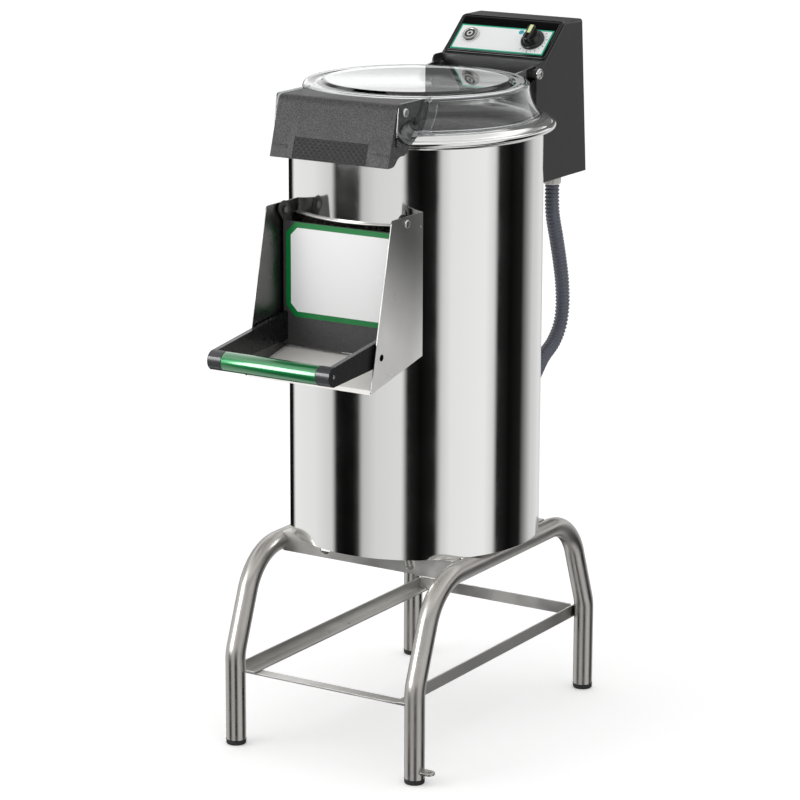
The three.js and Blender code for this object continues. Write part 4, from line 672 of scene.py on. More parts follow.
class Workshop:
    """Makes pieces from surfaces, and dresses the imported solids."""

    merged = 2e-6  # metres between points that become one
    collapsed = 1e-7  # metres of an edge that goes
    level = math.radians(0.4)  # between faces that count as flat


    def __init__(self, frame: dict[str, Any]) -> None:
        """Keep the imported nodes, each one's slot and body, and the drum's axis.
        """
        self.nodes = frame["nodes"]
        self.slots = {row["node"]: row["material_slot"] for row in frame["record"]["subparts"]}
        bodies = frame["record"]["behaviour"]["bodies"]
        self.bodies = {node: body for body, nodes in bodies.items() for node in nodes}
        low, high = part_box("drum_collar")
        self.origin = np.array([0.0, (low[1] + high[1]) / 2, 0.0])
        self.made = 0

    def piece(self, name: str, shapes: Sequence[Surface], finish: Finish, like: str, **edges: Any) -> Object:
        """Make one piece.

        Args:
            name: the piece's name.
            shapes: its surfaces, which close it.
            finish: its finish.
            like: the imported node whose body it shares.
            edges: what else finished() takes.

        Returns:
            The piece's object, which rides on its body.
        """
        starts = np.cumsum([0] + [len(shape.points) for shape in shapes]).tolist()
        faces = [tuple(start + i for i in face) for start, shape in zip(starts, shapes)
                 for face in shape.faces]
        mesh = bpy.data.meshes.new(name)
        mesh.from_pydata(np.vstack([shape.points for shape in shapes]) * MM + self.origin, [], faces)
        chart = shapes[0].chart
        if chart is not None:
            corners = np.empty(len(mesh.loops), dtype=np.int32)
            mesh.loops.foreach_get("vertex_index", corners)
            mesh.uv_layers.new(name="chart").data.foreach_set("uv", chart[corners].astype(np.float32).ravel())
        self.clean(mesh)
        return self.finished(name, mesh, finish, like, **edges)

    @staticmethod
    def read(items: bpy.types.bpy_prop_collection, key: str) -> Array:
        """Read a place in metres from each part of a mesh.

        Args:
            items: the mesh's vertices or faces.
            key: the place's name.

        Returns:
            The places [n, 3].
        """
        places = np.empty(len(items) * 3)
        items.foreach_get(key, places)
        return places.reshape(-1, 3)

    @classmethod
    def clean(cls, mesh: bpy.types.Mesh, flatten: bool = False) -> None:
        """Merge a mesh's doubles, and turn its faces outwards.

        Args:
            mesh: the mesh to clean.
            flatten: whether flat neighbours become one face.
        """
        work = bmesh.new()
        work.from_mesh(mesh)
        bmesh.ops.remove_doubles(work, verts=work.verts, dist=cls.merged)
        bmesh.ops.dissolve_degenerate(work, edges=work.edges, dist=cls.collapsed)
        if flatten:
            bmesh.ops.dissolve_limit(work, angle_limit=cls.level, verts=work.verts, edges=work.edges)
        bmesh.ops.recalc_face_normals(work, faces=work.faces)
        work.to_mesh(mesh)
        work.free()

    def finished(self, name: str, mesh: bpy.types.Mesh, finish: Finish, like: str, replaces: bool = True,
                 crease: float = 32.0, rounding: float = 0.0) -> Object:
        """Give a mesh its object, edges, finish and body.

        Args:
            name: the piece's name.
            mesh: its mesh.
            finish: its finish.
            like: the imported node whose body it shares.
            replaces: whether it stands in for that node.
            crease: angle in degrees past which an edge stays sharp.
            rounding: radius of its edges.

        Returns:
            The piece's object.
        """
        made = in_scene(name, mesh)
        mesh.shade_smooth()
        if rounding:
            bevel = made.modifiers.new("edges", "BEVEL")
            bevel.width, bevel.segments, bevel.limit_method = rounding * MM, 2, "ANGLE"
            bevel.angle_limit, bevel.harden_normals = math.radians(crease), True
        else:
            mesh.set_sharp_from_angle(angle=math.radians(crease))
        mesh.materials.clear()
        mesh.materials.append(finish.material())
        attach(made, self.bodies[like])
        if replaces:
            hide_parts(like)
        self.made += 1
        log.info("piece %s: %d faces", name, len(mesh.polygons))
        return made

    def refine(self, node: str, finish: Finish, rounding: float) -> Object:
        """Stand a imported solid's own shape in for it, merged, with rounded edges and smooth bends.

        Args:
            node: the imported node.
            finish: its finish.
            rounding: radius of its edges.

        Returns:
            The piece's object.
        """
        source, name = self.nodes[node].data, node + "_finished"
        mesh = bpy.data.meshes.new(name)
        faces = [tuple(face.vertices) for face in source.polygons]
        mesh.from_pydata(self.read(source.vertices, "co"), [], faces)
        self.clean(mesh, flatten=True)
        return self.finished(name, mesh, finish, node, crease=30.0, rounding=rounding)

    def patch(self, made: Object, finish: Finish, chosen: Callable[[Array], Array]) -> None:
        """Give some of a piece's faces a second finish.

        Args:
            made: the piece.
            finish: the second finish.
            chosen: tells from face middles [n, 3], in millimetres from the drum's axis, which faces take it.
        """
        mesh = made.data
        mesh.materials.append(finish.material())
        spots = (self.read(mesh.polygons, "center") - self.origin) / MM
        mesh.polygons.foreach_set("material_index", chosen(spots).astype(np.int32))

    def fold(self, made: Object, width: float, share: Callable[[Array, Array], Array]) -> None:
        """Round a sheet-metal piece's sharp edges, each by its own share of one width.

        Args:
            made: the piece.
            width: full width of the rounding.
            share: tells from both ends [n, 3] of the edges, in millimetres, each edge's share from 0 to 1.
        """
        mesh = made.data
        mesh.set_sharp_from_angle(angle=math.radians(20))
        spots = (self.read(mesh.vertices, "co") - self.origin) / MM
        ends = np.empty(len(mesh.edges) * 2, dtype=np.int32)
        mesh.edges.foreach_get("vertices", ends)
        sharp = np.empty(len(mesh.edges), dtype=bool)
        mesh.attributes["sharp_edge"].data.foreach_get("value", sharp)
        weight = share(spots[ends[0::2]], spots[ends[1::2]]) * sharp
        held = mesh.attributes.new("bevel_weight_edge", "FLOAT", "EDGE").data
        held.foreach_set("value", weight.astype(np.float32))
        bevel = made.modifiers["edges"]
        bevel.limit_method, bevel.width = "WEIGHT", width * MM
        bevel.segments, bevel.use_clamp_overlap = 4, False

    def dress(self, finish: Finish, *nodes: str) -> None:
        """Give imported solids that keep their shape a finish.

        Args:
            finish: the finish.
            nodes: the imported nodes.
        """
        for node in nodes:
            self.nodes[node].data.materials.clear()
            self.nodes[node].data.materials.append(finish.material())
            log.info("dressed %s", node)

    def screw(self, name: str, spot: Place, like: str, radius: float = 6.8, height: float = 3.4,
              socket: float = 5.0) -> None:
        """Make a button-head screw with a hexagon socket.

        Args:
            name: the screw's name.
            spot: the middle of its seat; out points away from the sheet.
            like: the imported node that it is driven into.
            radius: head radius.
            height: head height.
            socket: width across its flats; the wall at angle t lies at socket / 2 / cos(t mod 60 - 30).
        """
        turn, bend = turns(72), np.linspace(0.2, np.pi / 2, 7)
        hexagon = socket / 2 / np.cos(turn % (np.pi / 3) - np.pi / 6)
        head = [radius, radius, *(radius * (1 - 0.36 * (1 - np.cos(bend))))]
        radii = np.hstack([np.tile(head, (len(turn), 1)), hexagon, hexagon, 0 * turn])
        levels = [-0.4, height * 0.3, *(height * (0.3 + 0.7 * np.sin(bend))), height, *[height * 0.35] * 2]
        shape = spot.lathe(radii, levels)
        base = tuple(range(0, len(shape.points), len(levels)))
        self.piece(name, [replace(shape, faces=[*shape.faces, base])], Finishes.screw, like, replaces=False)


# The machine

@dataclass
class Assembly:
    """A sub-assembly, and the workshop that makes its pieces."""

    shop: Workshop

    def build(self) -> None:
        """Make and finish the pieces."""
        raise NotImplementedError


@dataclass
class Stand(Assembly):
    """Two bent tubes, two cross beams, the shelf angles and bars, and four feet."""

    height: float = 322.0
    half_spacing: float = 167.0
    half_reach: float = 268.0
    tube_radius: float = 16.0
    lean: float = 20.5
    knee_radius: float = 92.0
    ankle_radius: float = 60.0
    ankle_height: float = 140.0
    foot_height: float = 8.0
    gap: float = 0.3
    lug_level: float = 18.0
    lug_thickness: float = 4.0
    lug_middle: float = 192.5
    lug_half: float = 10.0
    lug_hole: float = 4.0
    lug_edge: float = 0.6

    def tube(self, x: float) -> Surface:
        """Return one bent tube.

        Args:
            x: the tube's side.

        Returns:
            The tube, its ends closed. Its centre line has an upright run, a bend of ankle_radius to the lean,
            a straight run, a bend of knee_radius to level, and the same mirrored to the rear.
        """
        lean = math.radians(self.lean)
        ankle, knee = np.linspace(0, lean, 13), np.linspace(lean, math.pi / 2, 33)
        ankle_y = -self.half_reach + self.ankle_radius * (1 - np.cos(ankle))
        ankle_z = self.ankle_height + self.ankle_radius * np.sin(ankle)
        level = self.height - self.tube_radius
        straight = (level - ankle_z[-1] - self.knee_radius * (1 - math.sin(lean))) / math.cos(lean)
        knee_y = ankle_y[-1] + straight * math.sin(lean) + self.knee_radius * (math.cos(lean) - np.cos(knee))
        knee_z = ankle_z[-1] + straight * math.cos(lean) + self.knee_radius * (np.sin(knee) - math.sin(lean))
        upright = np.linspace(self.foot_height + self.gap, self.ankle_height, 12)[:-1]
        y = np.concatenate([np.full(len(upright), -self.half_reach), ankle_y, knee_y])
        z = np.concatenate([upright, ankle_z, knee_z])
        path = xyz(x, np.concatenate([y, -y[::-1]]), np.concatenate([z, z[::-1]]))
        return capped(swept(path, np.full(len(path), self.tube_radius), 56))

    def lug(self) -> Surface:
        """Return the drilled tab low on a leg.

        Returns:
            Rings from its outline, half straight and half round, in to its hole, with softened edges.
        """
        turn, edge = turns(64), self.lug_edge
        root = self.lug_middle - self.half_spacing - self.tube_radius + 2
        c, s = np.cos(turn), np.sin(turn)
        stretch = np.minimum(root / np.maximum(-c, TINY), self.lug_half / np.maximum(np.abs(s), TINY))
        rim, hole = np.where(c < 0, stretch, self.lug_half), self.lug_hole + 0 * turn
        low, high = self.lug_level, self.lug_level + self.lug_thickness
        radii = np.hstack([hole, hole + edge, rim - edge, rim, rim, rim - edge, hole + edge, hole])
        levels = [low + edge, low, low, low + edge, high - edge, high, high, high - edge]
        return Place((self.lug_middle, -self.half_reach, 0.0)).lathe(radii, levels, closed=True)

    def foot(self, x: float, y: float) -> Surface:
        """Return one end cap.

        Args:
            x: its middle.
            y: its middle.

        Returns:
            A turned disc with a rounded lower edge and a thin shoulder.
        """
        r, h = self.tube_radius, self.foot_height
        lip = [(r, h - 1.2), (r + 0.5, h - 0.8), (r + 0.5, h), (0, h)]
        return Place((x, y, 0.0)).turned([(0, 0), *arc(r - 2.2, 2.2, 2.2, -90, 0, 6), *lip], 64)

    def build(self) -> None:
        """Make the tubes, lug and feet, and refine the flat bars and beams."""
        shop = self.shop
        for side, more in ((Side.LEFT, []), (Side.RIGHT, [self.lug()])):
            tube = self.tube(side.value * self.half_spacing)
            shop.piece(side.named("tube"), [tube, *more], Finishes.tube, side.named("stand_tube"))
        for row, y in (("front", -self.half_reach), ("rear", self.half_reach)):
            for side in Side:
                foot = self.foot(side.value * self.half_spacing, y)
                shop.piece(side.named(f"cap_{row}"), [foot], Finishes.foot, side.named(f"foot_{row}"))
            shop.refine(f"stand_beam_{row}", Finishes.rail, 0.7)
            shop.refine(f"shelf_bar_{row}", Finishes.rail, 0.5)
        for side in Side:
            shop.refine(side.named("shelf_angle"), Finishes.rail, 0.6)


@dataclass
class Drum(Assembly):
    """Shell with its window and lip, spun collar, and what the shell holds."""

    radius: float = 200.0
    wall: float = 1.5
    foot: float = 322.3
    top: float = 977.3
    window_half: float = 98.0
    sill: float = 668.3
    window_top: float = 849.3
    window_corner: float = 14.0
    patch_steps: int = 22  # of the window's zone, each way from the middle
    zone_rows: int = 20
    zone_margin: float = 44.0
    steps: int = 192
    lip_half: float = 111.7
    lip_reach: float = 6.0
    lip_radius: float = 3.2
    rise: float = 14.0
    skirt: float = 11.0
    bead: float = 5.0
    flare: float = 19.0
    seat_radius: float = 199.0
    mouth_radius: float = 187.0

    @staticmethod
    def on_wall(turn: Array, z: Array, radius: float | Array) -> Array:
        """Return points on the wall: (r sin t, -r cos t, z), so that a turn of 0 is the front."""
        return xyz(radius * np.sin(turn), -radius * np.cos(turn), z)

    def side(self, radius: float) -> tuple[list[Surface], Array]:
        """Return one side of the wall round the window.

        Args:
            radius: the side's radius.

        Returns:
            Grids over turn and height beside, below and above the window's zone, and in the zone a ring of
            quads that blends from the zone's edge to the window's rounded outline; then that outline.
        """
        step, low, high = FULL / self.steps, self.sill - self.zone_margin, self.window_top + self.zone_margin
        around = np.arange(self.patch_steps, self.steps - self.patch_steps + 1)[:, None] * step
        within = np.arange(-self.patch_steps, self.patch_steps + 1)[:, None] * step
        z_low, z_high = np.linspace(self.foot, low, 16), np.linspace(high, self.top, 8)
        z_mid = np.linspace(low, high, self.zone_rows + 1)
        parts = [grid(self.on_wall(turn, z[None], radius)) for turn, z in (
            (around, z_low), (around, z_mid), (around, z_high), (within, z_low), (within, z_high))]
        steps = (2 * self.patch_steps, self.zone_rows)
        outer = frame_loop(self.patch_steps * step, low, high, 0.0, *steps)
        outline = frame_loop(self.window_half, self.sill, self.window_top, self.window_corner, *steps)
        inner = np.stack([np.arcsin(outline[:, 0] / self.radius), outline[:, 1]], axis=-1)
        share = np.linspace(0, 1, 9)[:, None, None]
        ring = outer * (1 - share) + inner * share
        parts.append(grid(self.on_wall(ring[..., 0], ring[..., 1], radius), loop_v=True))
        return parts, self.on_wall(inner[:, 0], inner[:, 1], radius)

    def shell(self) -> list[Surface]:
        """Return the wall.

        Returns:
            Both its sides, and the strips that join them at the window, foot and top.
        """
        radii = (self.radius, self.radius - self.wall)
        (outside, window), (inside, inner_window) = (self.side(radius) for radius in radii)
        turn = np.arange(self.steps) * FULL / self.steps
        rims = [[self.on_wall(turn, z, radius) for radius in radii] for z in (self.foot, self.top)]
        strips = [grid(np.stack(pair), loop_v=True) for pair in ((window, inner_window), *rims)]
        return outside + inside + strips

    def lip(self) -> Surface:
        """Return the window's rolled upper edge.

        Returns:
            A strip that follows the wall, its section a superellipse.
        """
        half, power = math.asin(self.lip_half / self.radius), 0.75
        turn, section = np.linspace(-half, half, 61)[:, None], turns(24).T
        depth, height = (self.lip_reach + 1.2) / 2, self.lip_radius / 2 + 0.2
        r = self.radius + self.lip_reach / 2 - 0.4 + depth * bulged(np.cos(section), power)
        z = self.window_top + 1.6 + height * bulged(np.sin(section), power)
        return capped(self.on_wall(turn, z, r))

    def collar_profile(self) -> list[Pair]:
        """Return the collar's section.

        Returns:
            Radius and height along its skirt, bead, slope, seat and mouth wall, and back out to the shell.
        """
        wall, foot, top, seat = self.radius + 0.3, self.top - self.skirt, self.top, self.top + self.rise
        bead_r, crest, mouth = self.radius + self.flare - self.bead, self.top + self.bead, self.mouth_radius
        middle_r, middle_z = (bead_r + self.seat_radius) / 2, (crest + seat) / 2 + 2
        return [
            (wall, foot), *[(wall + 2 + 7 * t ** 1.6, foot + 2 + 4.2 * t) for t in np.linspace(0, 1, 7)],
            *arc(bead_r, top, self.bead, -68, 95, 14),
            *[(bead_r + (middle_r - bead_r) * t, crest + (middle_z - crest) * t ** 0.8)
              for t in np.linspace(0.25, 1, 5)],
            *[(middle_r + (self.seat_radius - middle_r) * t, middle_z + (seat - middle_z) * t ** 1.5)
              for t in np.linspace(0.2, 1, 5)],
            *arc(mouth + 2, seat - 2, 2, 90, 180, 4), (mouth, foot), (mouth + 2, foot),
            (mouth + 2, top + 0.3), (wall, top + 0.3)]

    def build(self) -> None:
        """Make the shell, lip and collar, and finish what they hold."""
        shop = self.shop
        shop.piece("drum_wall", self.shell(), Finishes.drum, "drum_shell")
        shop.piece("window_lip", [self.lip()], Finishes.rail, "drum_shell", replaces=False)
        ring = Place().turned(self.collar_profile(), self.steps, closed=True)
        shop.piece("drum_rim", [ring], Finishes.collar, "drum_collar", crease=40)
        shop.dress(Finishes.grit, "abrasive_liner")
        shop.dress(Finishes.inner_steel, "main_shaft", "motor_rotor")
        shop.dress(Finishes.screw, "bearing_upper", "bearing_lower")
        shop.dress(Finishes.cast, "bearing_housing", "driven_pulley", "motor_pulley")
        shop.dress(Finishes.rubber, "shaft_seal", "drive_belt")
        for node, finish, rounding in (
                ("peeling_disc", Finishes.grit, 0.8), ("chamber_floor", Finishes.inner_steel, 0.3),
                ("motor_body", Finishes.motor, 0.5), ("motor_bracket", Finishes.plate, 0.4),
                ("bottom_cover", Finishes.plate, 0.3), ("drain_pipe", Finishes.plate, 0.3),
                ("water_inlet", Finishes.brass, 0.4)):
            shop.refine(node, finish, rounding)


@dataclass
class Chute(Assembly):
    """Side plates, sloping floor and the door's hinge screws."""

    half_width: float = 114.0
    pivot: Pair = (-212.0, 861.3)

    def off_outer_face(self, points: Array) -> Array:
        """Return which points of a side plate lie on its inner face or its edges, which get painted shade."""
        return np.abs(points[:, 0]) < self.half_width - 0.1

    def build(self) -> None:
        """Refine the sheets and add the screws that show."""
        for side in RIGHT_FIRST:
            node = side.named("chute_plate")
            plate = self.shop.refine(node, Finishes.plate_lit, 0.25)
            # the outer face keeps the painted light-to-shade gradient; inner face and edges get a darker copy
            # of the steel, painted shade
            self.shop.patch(plate, Finishes.plate_shaded, self.off_outer_face)
            self.shop.screw(side.named("hinge_screw"), side.spot(self.half_width, *self.pivot), node)
        self.shop.refine("chute_floor", Finishes.chute, 0.4)


@dataclass
class Door(Assembly):
    """Folded panel with its film, two arms with collars, and the green tube between them."""

    tube_radius: float = 15.0
    tube_half: float = 84.7
    tube_edge: float = 0.8
    spigot_radius: float = 11.0
    spigot_half: float = 100.7
    axis: Pair = (-403.0, 662.3)
    arm_outer: float = 109.0

    def tube(self) -> Surface:
        """Return the tube between the arms.

        Returns:
            The tube with its softened ends, and the spigot that the collars hold, turned about X.
        """
        half, edge, inner = self.tube_half, self.tube_edge, self.spigot_radius
        end = [(r, x) for x, r in arc(half - edge, self.tube_radius - edge, edge, 0, 90, 4)]
        side = [(0.0, self.spigot_half), (inner, self.spigot_half), (inner, half), *end]
        return Side.RIGHT.spot(0.0, *self.axis).turned([*side, *[(r, -x) for r, x in reversed(side)]])

    def on_collar(self, points: Array) -> Array:
        """Return which points are a collar's: near the axis, and short of the arm's outer face."""
        reach = np.hypot(points[:, 1] - self.axis[0], points[:, 2] - self.axis[1])
        return (reach < self.tube_radius + 1.5) & (np.abs(points[:, 0]) < self.arm_outer - 1.0)

    def build(self) -> None:
        """Refine the panel and arms, make the tube, and dress the film."""
        shop = self.shop
        shop.refine("door_panel", Finishes.door, 0.7)
        shop.dress(Finishes.film, "door_label")
        shop.piece("green_tube", [self.tube()], Finishes.handle, "handle_tube")
        for side in RIGHT_FIRST:
            node = side.named("handle_arm")
            shop.patch(shop.refine(node, Finishes.arm, 0.9), Finishes.cap, self.on_collar)
            spot = side.spot(self.arm_outer - 3.0, *self.axis)
            shop.screw(side.named("arm_screw"), spot, node, 4.4, 2.2, 3.4)


@dataclass
class Lid(Assembly):
    """Clear dome with its raised ring, and the two hinge arms."""

    foot: float = 991.6
    top: float = 1046.6
    base_radius: float = 197.0
    base_flange: float = 3.0
    skirt_foot: float = 193.0
    skirt_top: float = 178.0
    shoulder_height: float = 43.0
    shoulder_radius: float = 9.0
    ring_radius: float = 148.0
    ring_step: float = 4.0
    ring_dip: float = 2.5
    wall: float = 4.0

    def side(self, inside: float) -> list[Pair]:
        """Return the skirt and shoulder.

        Args:
            inside: how far inside the outer face they lie.

        Returns:
            Radius and height along them; the skirt's radius falls as (1 - u)^2.
        """
        rise, radius = self.shoulder_height - self.base_flange, self.shoulder_radius
        skirt = [(self.skirt_top + (self.skirt_foot - self.skirt_top) * (1 - u) ** 2 - inside,
                  self.foot + self.base_flange + rise * u) for u in np.linspace(0, 1, 14)]
        middle = (self.skirt_top - radius, self.top - self.ring_dip - radius)
        return skirt + arc(*middle, radius - inside, 15, 82, 7)

    def dome(self) -> Surface:
        """Return the closed dome.

        Returns:
            A turned surface: flange, skirt, shoulder, dished band, step, nearly flat middle and inner face.
        """
        step, ring, top, foot, base = self.ring_step, self.ring_radius, self.top, self.foot, self.base_radius
        band = [(ring + 4 * step - u * 3 * step, top - 2 * self.ring_dip + 0.4 - 0.8 * math.sin(math.pi * u))
                for u in np.linspace(0, 1, 7)]
        rise = [(ring + step * (0.6 - 1.6 * u), top - 4.4 + 4.2 * (3 * u ** 2 - 2 * u ** 3))
                for u in np.linspace(0, 1, 9)]
        middle = [(r, top - 0.2 - 0.9 * (1 - (r / (ring - step)) ** 2))
                  for r in np.linspace(ring - 2 * step, 0, 16)]
        outer = [(base - 0.5, foot), (base, foot + 0.5), (base, foot + self.base_flange - 0.8),
                 (base - 1, foot + self.base_flange), *self.side(0.0), *band, *rise, *middle]
        inner = [(r, top - self.wall - self.ring_dip) for r in (0.0, *np.linspace(20, 150, 8))]
        inner += [*reversed(self.side(self.wall)), (self.skirt_foot - self.wall, foot)]
        return Place().turned([*outer, *inner], 192, closed=True)

    def build(self) -> None:
        """Make the dome and refine the hinge arms."""
        self.shop.piece("clear_dome", [self.dome()], Finishes.lid, "lid_dome", crease=50)
        for side in Side:
            self.shop.refine(side.named("lid_hinge_arm"), Finishes.hinge, 0.5)


@dataclass
class Latch(Assembly):
    """Hood with its chequered grip, and the two bracket plates that carry it."""

    face_top: Pair = (-225.0, 1041.6)
    face_foot: Pair = (-252.0, 949.6)
    grip_half: float = 65.6
    grip_height: float = 33.6
    grip_start: float = 0.4
    recess: float = 0.8
    relief: float = 0.75
    pitch: float = 9.4
    pivot: Pair = (-210.5, 1029.1)
    bracket_outer: float = 110.0

    def grip(self) -> Surface:
        """Return the chequered patch in the face's recess.

        Returns:
            A slab on the leaning face. Its relief at (x, s) along the face is the least of the two
            distances to diagonal furrows, |frac((x +- s) / pitch) - 1/2|, which makes small pyramids.
        """
        slope = np.subtract(self.face_top, self.face_foot)
        c, s = slope / math.hypot(*slope)
        face = Place((0.0, *self.face_foot), up=(0.0, c, s), out=(0.0, -s, c))
        x = np.linspace(-self.grip_half, self.grip_half, 281)[:, None]
        up = np.linspace(self.grip_start, self.grip_height, 73)[None]
        a, b = (np.abs(way / self.pitch % 1.0 - 0.5) for way in (x + up, x - up))
        edge = np.minimum(np.minimum(self.grip_half - np.abs(x), up - self.grip_start), self.grip_height - up)
        raised = self.relief * (1 - 2 * np.maximum(a, b)) ** 0.8 * np.clip(edge / 0.8, 0, 1)
        return face.carry(slab(xyz(x, up, raised + 0.02 - self.recess), xyz(x, up, -0.6 - self.recess)))

    def build(self) -> None:
        """Refine the hood and brackets, and add the grip and the pivot screws."""
        self.shop.refine("latch_hood", Finishes.hood, 1.2)
        self.shop.piece("hood_grip", [self.grip()], Finishes.grip, "latch_hood", replaces=False, crease=60)
        for side in RIGHT_FIRST:
            node = side.named("latch_bracket")
            self.shop.refine(node, Finishes.bracket, 0.9)
            self.shop.screw(side.named("hood_screw"), side.spot(self.bracket_outer, *self.pivot), node)


@dataclass
class ControlBox(Assembly):
    """Sheet-metal box behind the drum with its frame, film, button, knob and hinge screws."""

    half_width: float = 98.0
    panel_foot: Pair = (238.0, 1052.6)
    panel_head: Pair = (304.0, 1108.6)
    hinge: Pair = (215.5, 1034.6)
    rear_foot: Pair = (375.0, 855.9)
    rear_head: Pair = (355.0, 1108.6)
    cover_inset: float = 14.0
    plate_top: float = 2.3  # of the printed film, above the sheet
    frame_half_width: float = 95.0
    frame_half_height: float = 41.5
    frame_rise: float = 3.5
    rim: float = 4.5
    film_half: float = 86.4
    film_low: float = -34.2
    film_high: float = 19.2
    button: Pair = (-60.0, -4.0)
    knob: Pair = (57.0, -5.0)
    dot: Pair = (28.5, 11.0)
    scale_ends: Pair = (-128.0, 62.0)  # degrees
    scale_reach: float = 22.6

    @property
    def panel(self) -> Place:
        """Return the slanted panel's middle and directions.

        Returns:
            The spot; up runs from the panel's foot to its head.
        """
        (y0, z0), (y1, z1) = self.panel_foot, self.panel_head
        tilt = math.atan2(z1 - z0, y1 - y0)
        c, s = math.cos(tilt), math.sin(tilt)
        return Place((0.0, (y0 + y1) / 2, (z0 + z1) / 2), up=(0.0, c, s), out=(0.0, -s, c))

    def on_film(self, at: Pair, height: float) -> Place:
        """Return a spot on the panel, at a height above the printed film."""
        return self.panel.moved(*at, self.plate_top + height)

    @staticmethod
    def rounded(box: Sequence[float], grow: float, corner: float, level: float) -> Array:
        """Return the outline of a grown rectangle with rounded corners.

        Args:
            box: its left, right, low and high edge.
            grow: how far it is grown on each side.
            corner: radius of its corners.
            level: its height.

        Returns:
            Points [88, 3], 22 to a quarter turn, anticlockwise.
        """
        x0, x1, y0, y1 = box
        count, quarter_turn, diagonal = 88, np.pi / 2, np.pi / 4
        turn = np.radians(np.arange(count) * 360 / count + 2.0)
        quarter = np.floor(turn / quarter_turn) * quarter_turn
        part = turn % quarter_turn / quarter_turn
        bend = np.radians(np.clip((part - 0.25) / 0.5, 0, 1) * 90) + quarter
        reach_x, reach_y = (x1 - x0) / 2 + grow - corner, (y1 - y0) / 2 + grow - corner
        x = (x0 + x1) / 2 + np.sign(np.cos(quarter + diagonal)) * reach_x + corner * np.cos(bend)
        y = (y0 + y1) / 2 + np.sign(np.sin(quarter + diagonal)) * reach_y + corner * np.sin(bend)
        return xyz(x, y, level)

    def bezel(self) -> Surface:
        """Return the moulded frame.

        Returns:
            Rings of one rounded rectangle each, from the sheet up the outer wall, over the rounded rim, down
            to a low band, and at the film's edge back down to the sheet. The band is wider above the film.
        """
        w, h, thin = self.frame_half_width, self.frame_half_height, self.rim
        high, low = self.frame_rise, self.plate_top + 0.3
        outer = [(0.0, -1.2), (0.0, high - 1.6), (0.3, high - 0.7), (0.9, high - 0.15), (1.6, high),
                 (thin - 1.2, high), (thin - 0.4, high - 0.3), (thin + 0.2, low + 0.3), (thin + 0.8, low)]
        window = (-self.film_half - 0.5, self.film_half + 0.5, self.film_low - 0.4, self.film_high + 0.4)
        inner = [(1.0, low), (0.2, low - 0.2), (0.0, low - 0.8), (0.0, -1.2)]
        rings = [self.rounded((-w, w, -h, h), -inset, max(7.0 - inset, 2.0), z) for inset, z in outer]
        rings += [self.rounded(window, grow, 1.6, z) for grow, z in inner]
        return self.panel.carry(grid(np.stack(rings, axis=1), loop_u=True, loop_v=True))

    def film(self) -> Surface:
        """Return the printed film.

        Returns:
            A thin slab with its own flat chart from its middle.
        """
        x = np.linspace(-self.film_half, self.film_half, 21)[:, None]
        up = np.linspace(self.film_low, self.film_high, 9)[None]
        shape = flat(x, up, self.plate_top + 0.25, self.plate_top - 1.0)
        chart = shape.points[:, :2] - np.array([0.0, (self.film_low + self.film_high) / 2])
        return replace(self.panel.carry(shape), chart=chart)

    def start_button(self) -> None:
        """Make the button's metal collar, its cap, and the dark ring and dot on it."""
        shop, seat = self.shop, self.on_film(self.button, 0.3)
        collar = [(10.4, -2), (10.4, 3.6), (11.2, 4.4), (12.4, 4.8), (13.6, 4.4), (14.2, 3.0), (14.4, 2.4),
                  (15.0, 2.2), (15.2, 0.6), (15.2, 0), (10.4, 0)]
        cap = [(0, -6), (9.8, -6), (9.8, 4.4), (9.2, 5.0), (7.6, 5.1), (7.0, 4.7), (6.4, 5.1), (0, 5.4)]
        ring = [(5.6, 5.0), (9.0, 5.0), (9.0, 5.6), (5.6, 5.7)]
        dot = [(0, 5.2), (2.6, 5.2), (2.6, 5.55), (0, 5.6)]
        shop.piece("button_ring", [seat.turned(collar)], Finishes.screw, "button_collar", crease=40)
        shop.piece("button_cap", [seat.turned(cap)], Finishes.button, "start_button", crease=40)
        marks = [seat.turned(ring, closed=True), seat.turned(dot, 48)]
        shop.piece("button_print", marks, Finishes.print_dark, "start_button", replaces=False)

    def prints(self) -> None:
        """Make the strokes round the knob, every other one longer, and the dot before them."""
        strokes = []
        for i, turn in enumerate(np.radians(np.linspace(*self.scale_ends, 12))):
            radial, side = np.array([[math.cos(turn), math.sin(turn)], [-math.sin(turn), math.cos(turn)]])
            length, half = (2.2, 0.35) if i % 2 else (3.4, 0.6)
            along = np.array([self.scale_reach, self.scale_reach + length])[:, None, None]
            corners = along * radial + np.array([-half, half])[None, :, None] * side + np.array(self.knob)
            stroke = flat(corners[..., 0], corners[..., 1], self.plate_top + 0.32, self.plate_top + 0.1)
            strokes.append(self.panel.carry(stroke))
        self.shop.piece("scale_strokes", strokes, Finishes.print_dark, "panel_plate", replaces=False)
        dot = self.on_film(self.dot, 0.1).turned([(0, 0), (4.6, 0), (4.6, 0.2), (0, 0.22)], 48)
        self.shop.piece("scale_dot", [dot], Finishes.print_teal, "panel_plate", replaces=False)

